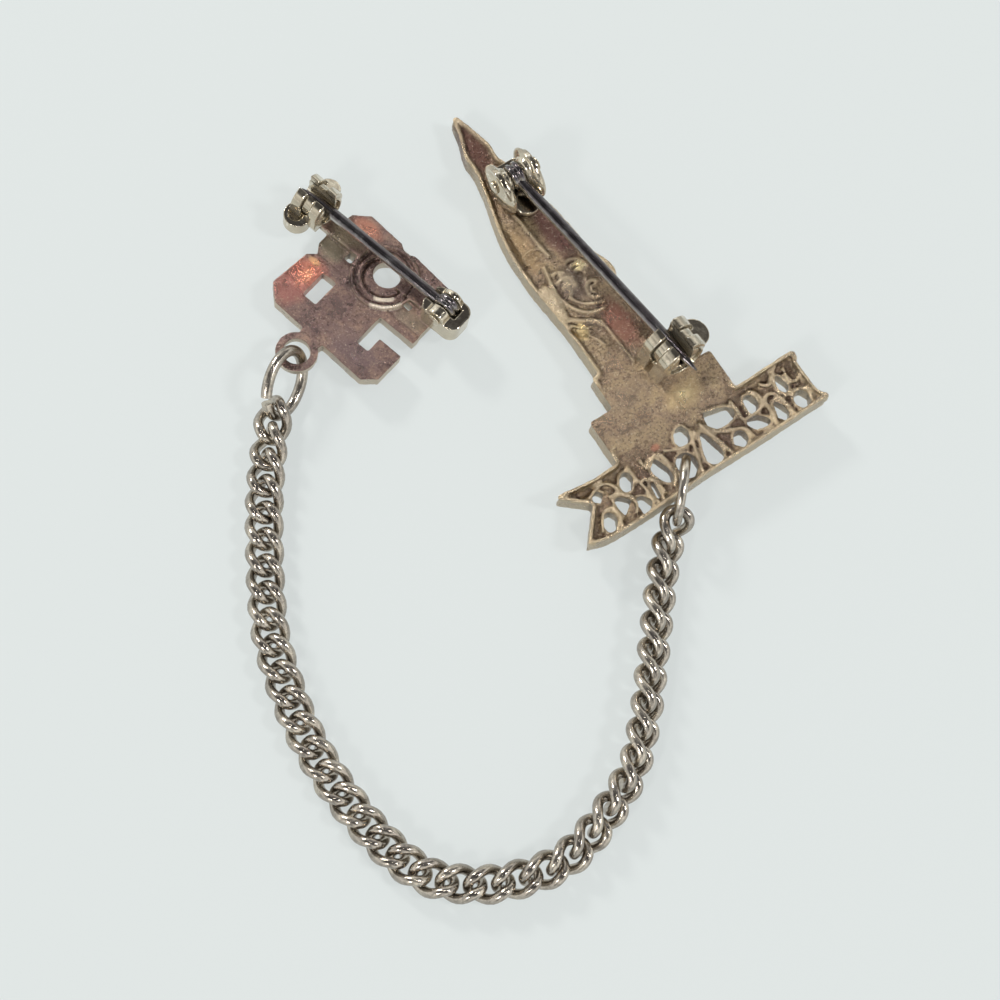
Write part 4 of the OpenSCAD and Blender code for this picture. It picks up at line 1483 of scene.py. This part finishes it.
@dataclass
class CurbChain:
    """The curb chain: one twisted link, copied along its way over the table.

    Attributes:
        route: Points of the chain's way, from the guard round to the badge.
        rolls: Number of the link and roll about its own way, in degrees.
        rises: Number of the link and its extra height.
        tilts: Number of the link and its tilt, in degrees.
        count: How many links there are.
        length: Length of a link over its wire.
        width: Width of a link over its wire.
        wire: Thickness of its wire.
        twist: Twist of each end of a link, in degrees.
        gap: Space between the lowest link and the table.
        plating: How much the wire's radius is larger than the solids'.
        steps: How many points a link's centre line has.
    """

    route: tuple[Flat, ...]
    rolls: tuple[Flat, ...]
    rises: tuple[Flat, ...]
    tilts: tuple[Flat, ...]
    count: int = 38
    length: float = 3.56
    width: float = 2.7
    wire: float = 0.7
    twist: float = -50.0
    gap: float = 0.02
    plating: float = 0.02
    steps: int = 48

    @staticmethod
    def _look(table: Sequence[Flat], at: float) -> float:
        """Look up the value of a table, on straight lines between its rows.

        Args:
            table: Its rows, each a place and its value.
            at: The place.

        Returns:
            The value.
        """
        for (a, low), (b, high) in zip(table, table[1:]):
            if at <= b:
                return low + (high - low) * max(0.0, at - a) / (b - a)
        return table[-1][1]

    def _link_line(self) -> list[Vector]:
        """Lay out the centre line of one link, along X and without a roll.

        Returns:
            Its points.
        """
        oval = 0.8
        a, b = (self.length - self.wire) / 2, (self.width - self.wire) / 2
        points = []
        for step in range(self.steps):
            t = 2 * math.pi * (step + 0.5) / self.steps
            x = a * math.copysign(abs(math.cos(t)) ** oval, math.cos(t))
            y = b * math.copysign(abs(math.sin(t)) ** oval, math.sin(t))
            turn = math.radians(self.twist * math.sin(math.pi / 2 * x / a))
            points.append(Vector((x, y * math.cos(turn), y * math.sin(turn))))
        return points

    def _way(self) -> tuple[list[Vector], list[float]]:
        """Lay a smooth way over the table through the route.

        Returns:
            Its points, and its length up to each of them.
        """
        spots = [Vector(spot) for spot in self.route]
        ends = [2 * spots[0] - spots[1], *spots, 2 * spots[-1] - spots[-2]]
        line = []
        parts = 24
        for a, b, c, d in zip(ends, ends[1:], ends[2:], ends[3:]):
            for k in range(parts):
                t = k / parts
                line.append((2 * b + (c - a) * t + (2 * a - 5 * b + 4 * c - d) * t * t
                             + (3 * b - a - 3 * c + d) * t ** 3) / 2)
        line.append(spots[-1])
        reach = [0.0]
        for before, after in zip(line, line[1:]):
            reach.append(reach[-1] + (after - before).length)
        return line, reach

    @staticmethod
    def _on(line: list[Vector], reach: list[float], s: float) -> Vector:
        """Find a point of the way.

        Args:
            line: The way's points.
            reach: Its length up to each of them.
            s: The point's length from the start.

        Returns:
            The point.
        """
        if s <= 0.0:
            return line[0]
        for k in range(1, len(line)):
            if s <= reach[k]:
                share = (s - reach[k - 1]) / (reach[k] - reach[k - 1])
                return line[k - 1].lerp(line[k], share)
        return line[-1]

    def build(self) -> None:
        """Build every link."""
        shape = self._link_line()
        model = Bench.wire(shape, self.wire / 2 + self.plating, True)
        line, reach = self._way()
        pitch, near = reach[-1] / (self.count - 1), 0.3
        # Half the wire with a margin, so that no link sinks into the table
        under = self.wire / 2 * 1.05
        for number in range(1, self.count + 1):
            s = (number - 1) * pitch
            ahead, behind = self._on(line, reach, s + near), self._on(line, reach, s - near)
            way = math.atan2(ahead.y - behind.y, ahead.x - behind.x)
            roll = Matrix.Rotation(math.radians(self._look(self.rolls, number)), 4, "X")
            low = min((roll @ point).z for point in shape)
            lift = under + self.gap - low + self._look(self.rises, number)
            spot = self._on(line, reach, s)
            link = Bench.bring("link", model.data.copy())
            link.matrix_world = (Matrix.Translation((spot.x, spot.y, lift))
                                 @ Matrix.Rotation(way, 4, "Z")
                                 @ Matrix.Rotation(-math.radians(self._look(self.tilts, number)), 4, "Y")
                                 @ roll)
            present(link, f"curb_link_{number:02d}", TABLE, CHAIN_FINISH, SET_BODY,
                    (f"link_{number:02d}",))
        bpy.data.objects.remove(model)


@dataclass
class JumpRing:
    """An oval jump ring, rolled and dipped so that it passes through what it joins.

    Attributes:
        middle: Its middle on the table.
        long: Half length of its centre line.
        short: Half width of its centre line.
        way: Turn of its long side on the table, in degrees.
        roll: Roll about its long side, in degrees.
        dip: Dip of its long side, in degrees.
        wire: Thickness of its wire.
        gap: Width of its opening, in degrees.
        cut: Where the opening is, in degrees.
        steps: How many steps its centre line has.
    """

    middle: Point
    long: float
    short: float
    way: float
    roll: float
    dip: float
    wire: float
    gap: float = 0.0
    cut: float = 0.0
    steps: int = 64

    def build(self, name: str) -> None:
        """Build the ring.

        Args:
            name: Name of the node that it replaces.
        """
        closed = self.gap == 0.0
        count = self.steps if closed else self.steps + 1
        start = math.radians(self.cut + self.gap / 2)
        sweep = math.radians(360 - self.gap)
        points = [(self.long * math.cos(start + sweep * k / self.steps),
                   self.short * math.sin(start + sweep * k / self.steps), 0.0) for k in range(count)]
        ring = Bench.wire(points, self.wire / 2, closed)
        ring.matrix_world = (Matrix.Translation(self.middle)
                             @ Matrix.Rotation(math.radians(self.way), 4, "Z")
                             @ Matrix.Rotation(math.radians(self.dip), 4, "Y")
                             @ Matrix.Rotation(math.radians(self.roll), 4, "X"))
        present(ring, f"{name}_wire", TABLE, CHAIN_FINISH, SET_BODY, (name,))


@dataclass
class Studio:
    """The pale table, the soft light and the camera.

    Attributes:
        target: Where the camera looks, in millimetres on the table.
        lean: How far the camera stands to the side and below, as shares of its height.
        distance: How far it is away, in millimetres.
        field_of_view: Width of what it sees at the table, in millimetres.
        wall: Light of the room's pale walls.
        ceiling: Light of its dim ceiling.
        floor: Colour of the table.
        glow: How far the table lights itself up, which keeps the shadows faint.
    """

    target: Flat = (-2.61, 0.0)
    lean: Flat = (-0.05, -0.25)
    distance: float = 160.0
    field_of_view: float = 70.0
    wall: Colour = (1.25, 1.27, 1.24)
    ceiling: Colour = (0.115, 0.115, 0.12)
    floor: Colour = (0.17, 0.18, 0.178)
    glow: float = 3.1

    def table(self) -> None:
        """Lay the pale table."""
        bpy.ops.object.select_all(action="DESELECT")
        bpy.ops.mesh.primitive_plane_add(size=3.0)
        floor = bpy.context.object
        floor.name = "table"
        material = bpy.data.materials.new("pale table")
        material.use_nodes = True
        pale = (*self.floor, 1.0)
        Graph(material.node_tree).feed(material.node_tree.nodes["Principled BSDF"], {
            "Base Color": pale, "Emission Color": pale, "Emission Strength": self.glow, "Roughness": 0.7,
            "Specular IOR Level": 0.2})
        floor.data.materials.append(material)

    def camera(self) -> None:
        """Set up the camera at the photograph's angle."""
        back = Vector((*self.lean, 1.0)).normalized()
        right = Vector((0.0, 1.0, 0.0)).cross(back).normalized()
        up = back.cross(right)
        spot = Vector((*self.target, 0.0)) + back * self.distance
        data = bpy.data.cameras.new("camera")
        data.angle = 2 * math.atan(self.field_of_view / 2 / self.distance)
        data.clip_start = 0.01
        camera = Bench.bring("camera", data)
        turn = Matrix((right, up, back)).transposed().to_4x4()
        camera.matrix_world = Matrix.Translation(spot * MM) @ turn
        bpy.context.scene.camera = camera

    @staticmethod
    def lamp(name: str, at: Point, size: float, power: float, colour: Colour) -> None:
        """Hang a square soft light that faces the middle of the table.

        Args:
            name: Its name.
            at: Its place in metres.
            size: Its width in metres.
            power: Its power in watts.
            colour: Its colour.
        """
        data = bpy.data.lights.new(name, "AREA")
        data.size = size
        data.energy = power
        data.color = colour
        light = Bench.bring(name, data)
        light.location = at
        light.rotation_euler = Vector(at).to_track_quat("Z", "Y").to_euler()

    def light(self) -> None:
        """Light the table softly: pale walls all round, a dim ceiling and four small lamps."""
        self.lamp("window", (-0.5, 0.68, 0.55), 0.14, 5.0, (1.0, 0.99, 0.96))
        self.lamp("overhead", (0.04, 0.1, 0.95), 0.05, 0.5, (1.0, 1.0, 0.98))
        self.lamp("side", (0.6, -0.1, 0.75), 0.14, 3.0, (0.98, 0.99, 1.0))
        self.lamp("front", (-0.5, -0.55, 0.7), 0.14, 3.0, (1.0, 0.98, 0.95))
        world = bpy.data.worlds.new("room")
        world.use_nodes = True
        graph = Graph(world.node_tree)
        around = graph.add("TexCoord").outputs["Generated"]
        height = graph.add("SeparateXYZ", {"Vector": around}).outputs["Z"]
        patches = graph.add("TexNoise", {"Vector": around, "Scale": 2.3, "Detail": 1.0}).outputs["Fac"]
        contrast = graph.add("Math", {0: patches, 1: 3.2, 2: -1.85}, operation="MULTIPLY_ADD")
        pale = graph.add("Math", {0: graph.spread(height, 0.95, 0.35), 1: contrast.outputs["Value"]})
        ramp = graph.add("ValToRGB", {"Fac": pale.outputs["Value"]})
        stops = ramp.color_ramp.elements
        stops[0].position, stops[0].color = 0.1, (*self.ceiling, 1.0)
        stops[1].position, stops[1].color = 0.85, (*self.wall, 1.0)
        graph.feed(world.node_tree.nodes["Background"], {"Color": ramp.outputs["Color"]})
        bpy.context.scene.world = world
        bpy.context.scene.view_settings.view_transform = "Standard"

    def build(self) -> None:
        """Build the studio."""
        self.table()
        self.light()
        self.camera()


def build_badge() -> None:
    """Build the badge pin: its casting, joint, stem and catch."""
    BadgePlate(BADGE).build()
    hinge: Point = (0.08, 25.1, 3.6)
    tip: Flat = (2.85, 6.15)
    run = Vector((tip[0] - hinge[0], tip[1] - hinge[1]))
    catch_y = 8.5
    catch_x = hinge[0] + run.x * (hinge[1] - catch_y) / -run.y
    BallJoint(BADGE, hinge, 1.7).build()
    PinStem(BADGE, hinge, 0.0, run.length, 1.0, math.degrees(math.atan2(run.x, -run.y))).build(
        "badge_stem", "badge_stem")
    catch_at: Point = (catch_x, catch_y, hinge[2])
    SafetyCatch(BADGE, catch_at, 3.0, 1.85, 2.5, 1.1, 1.7, foot_out=0.7, sunk=0.35).build(
        "badge_catch", "badge_catch")


def build_guard() -> None:
    """Build the guard pin: its casting, joint, stem and catch."""
    GuardPlate(GUARD).build()
    line_y, line_z = 1.75, 2.6
    PinStem(GUARD, (5.1, line_y, line_z), -90.0, 13.4, 0.9).build("guard_stem", "guard_stem")
    catch_at: Point = (-6.95, line_y, line_z)
    SafetyCatch(GUARD, catch_at, 90.0, 1.5, 2.3, 0.75, 1.6, wing_r=0.8, foot_out=0.1).build(
        "guard_catch", "guard_catch")


def build_chain() -> None:
    """Build the chain and the jump rings at its ends."""
    CurbChain(
        route=((-18.5, 5.19), (-18.89, 1.6), (-18.96, -2.2), (-18.61, -8.0), (-17.81, -11.8),
               (-15.71, -17.0), (-12.41, -21.9), (-8.41, -25.7), (-4.91, -26.7), (-1.21, -26.3),
               (2.29, -24.6), (5.69, -20.2), (6.99, -16.5), (7.79, -11.3), (8.29, -7.3),
               (8.79, -4.15), (9.37, -2.37)),
        rolls=((1, 12.4), (2, 31), (5, 0), (21, 0), (29, 60), (37, 60), (38, 55.1)),
        rises=((1, 0.245), (2, 0), (37, 0), (38, 0.261)),
        tilts=((1, -7.2), (2, 0), (37, 0), (38, 24.6))).build()
    JumpRing((9.87, 0.265, 2.275), 2.233, 1.912, 260.7, 93.0, -4.4, 0.66).build("badge_ring")
    JumpRing((-17.73, 7.73, 1.91), 2.348, 1.686, 252.9, 123.1, 14.7, 0.8, 12.0, 50.0).build("guard_ring")


def main() -> None:
    """Build the set in order and report each piece."""
    logging.basicConfig(level=logging.INFO, format="%(message)s")
    Studio().build()
    build_badge()
    build_guard()
    build_chain()


if __name__ == "__main__":
    main()
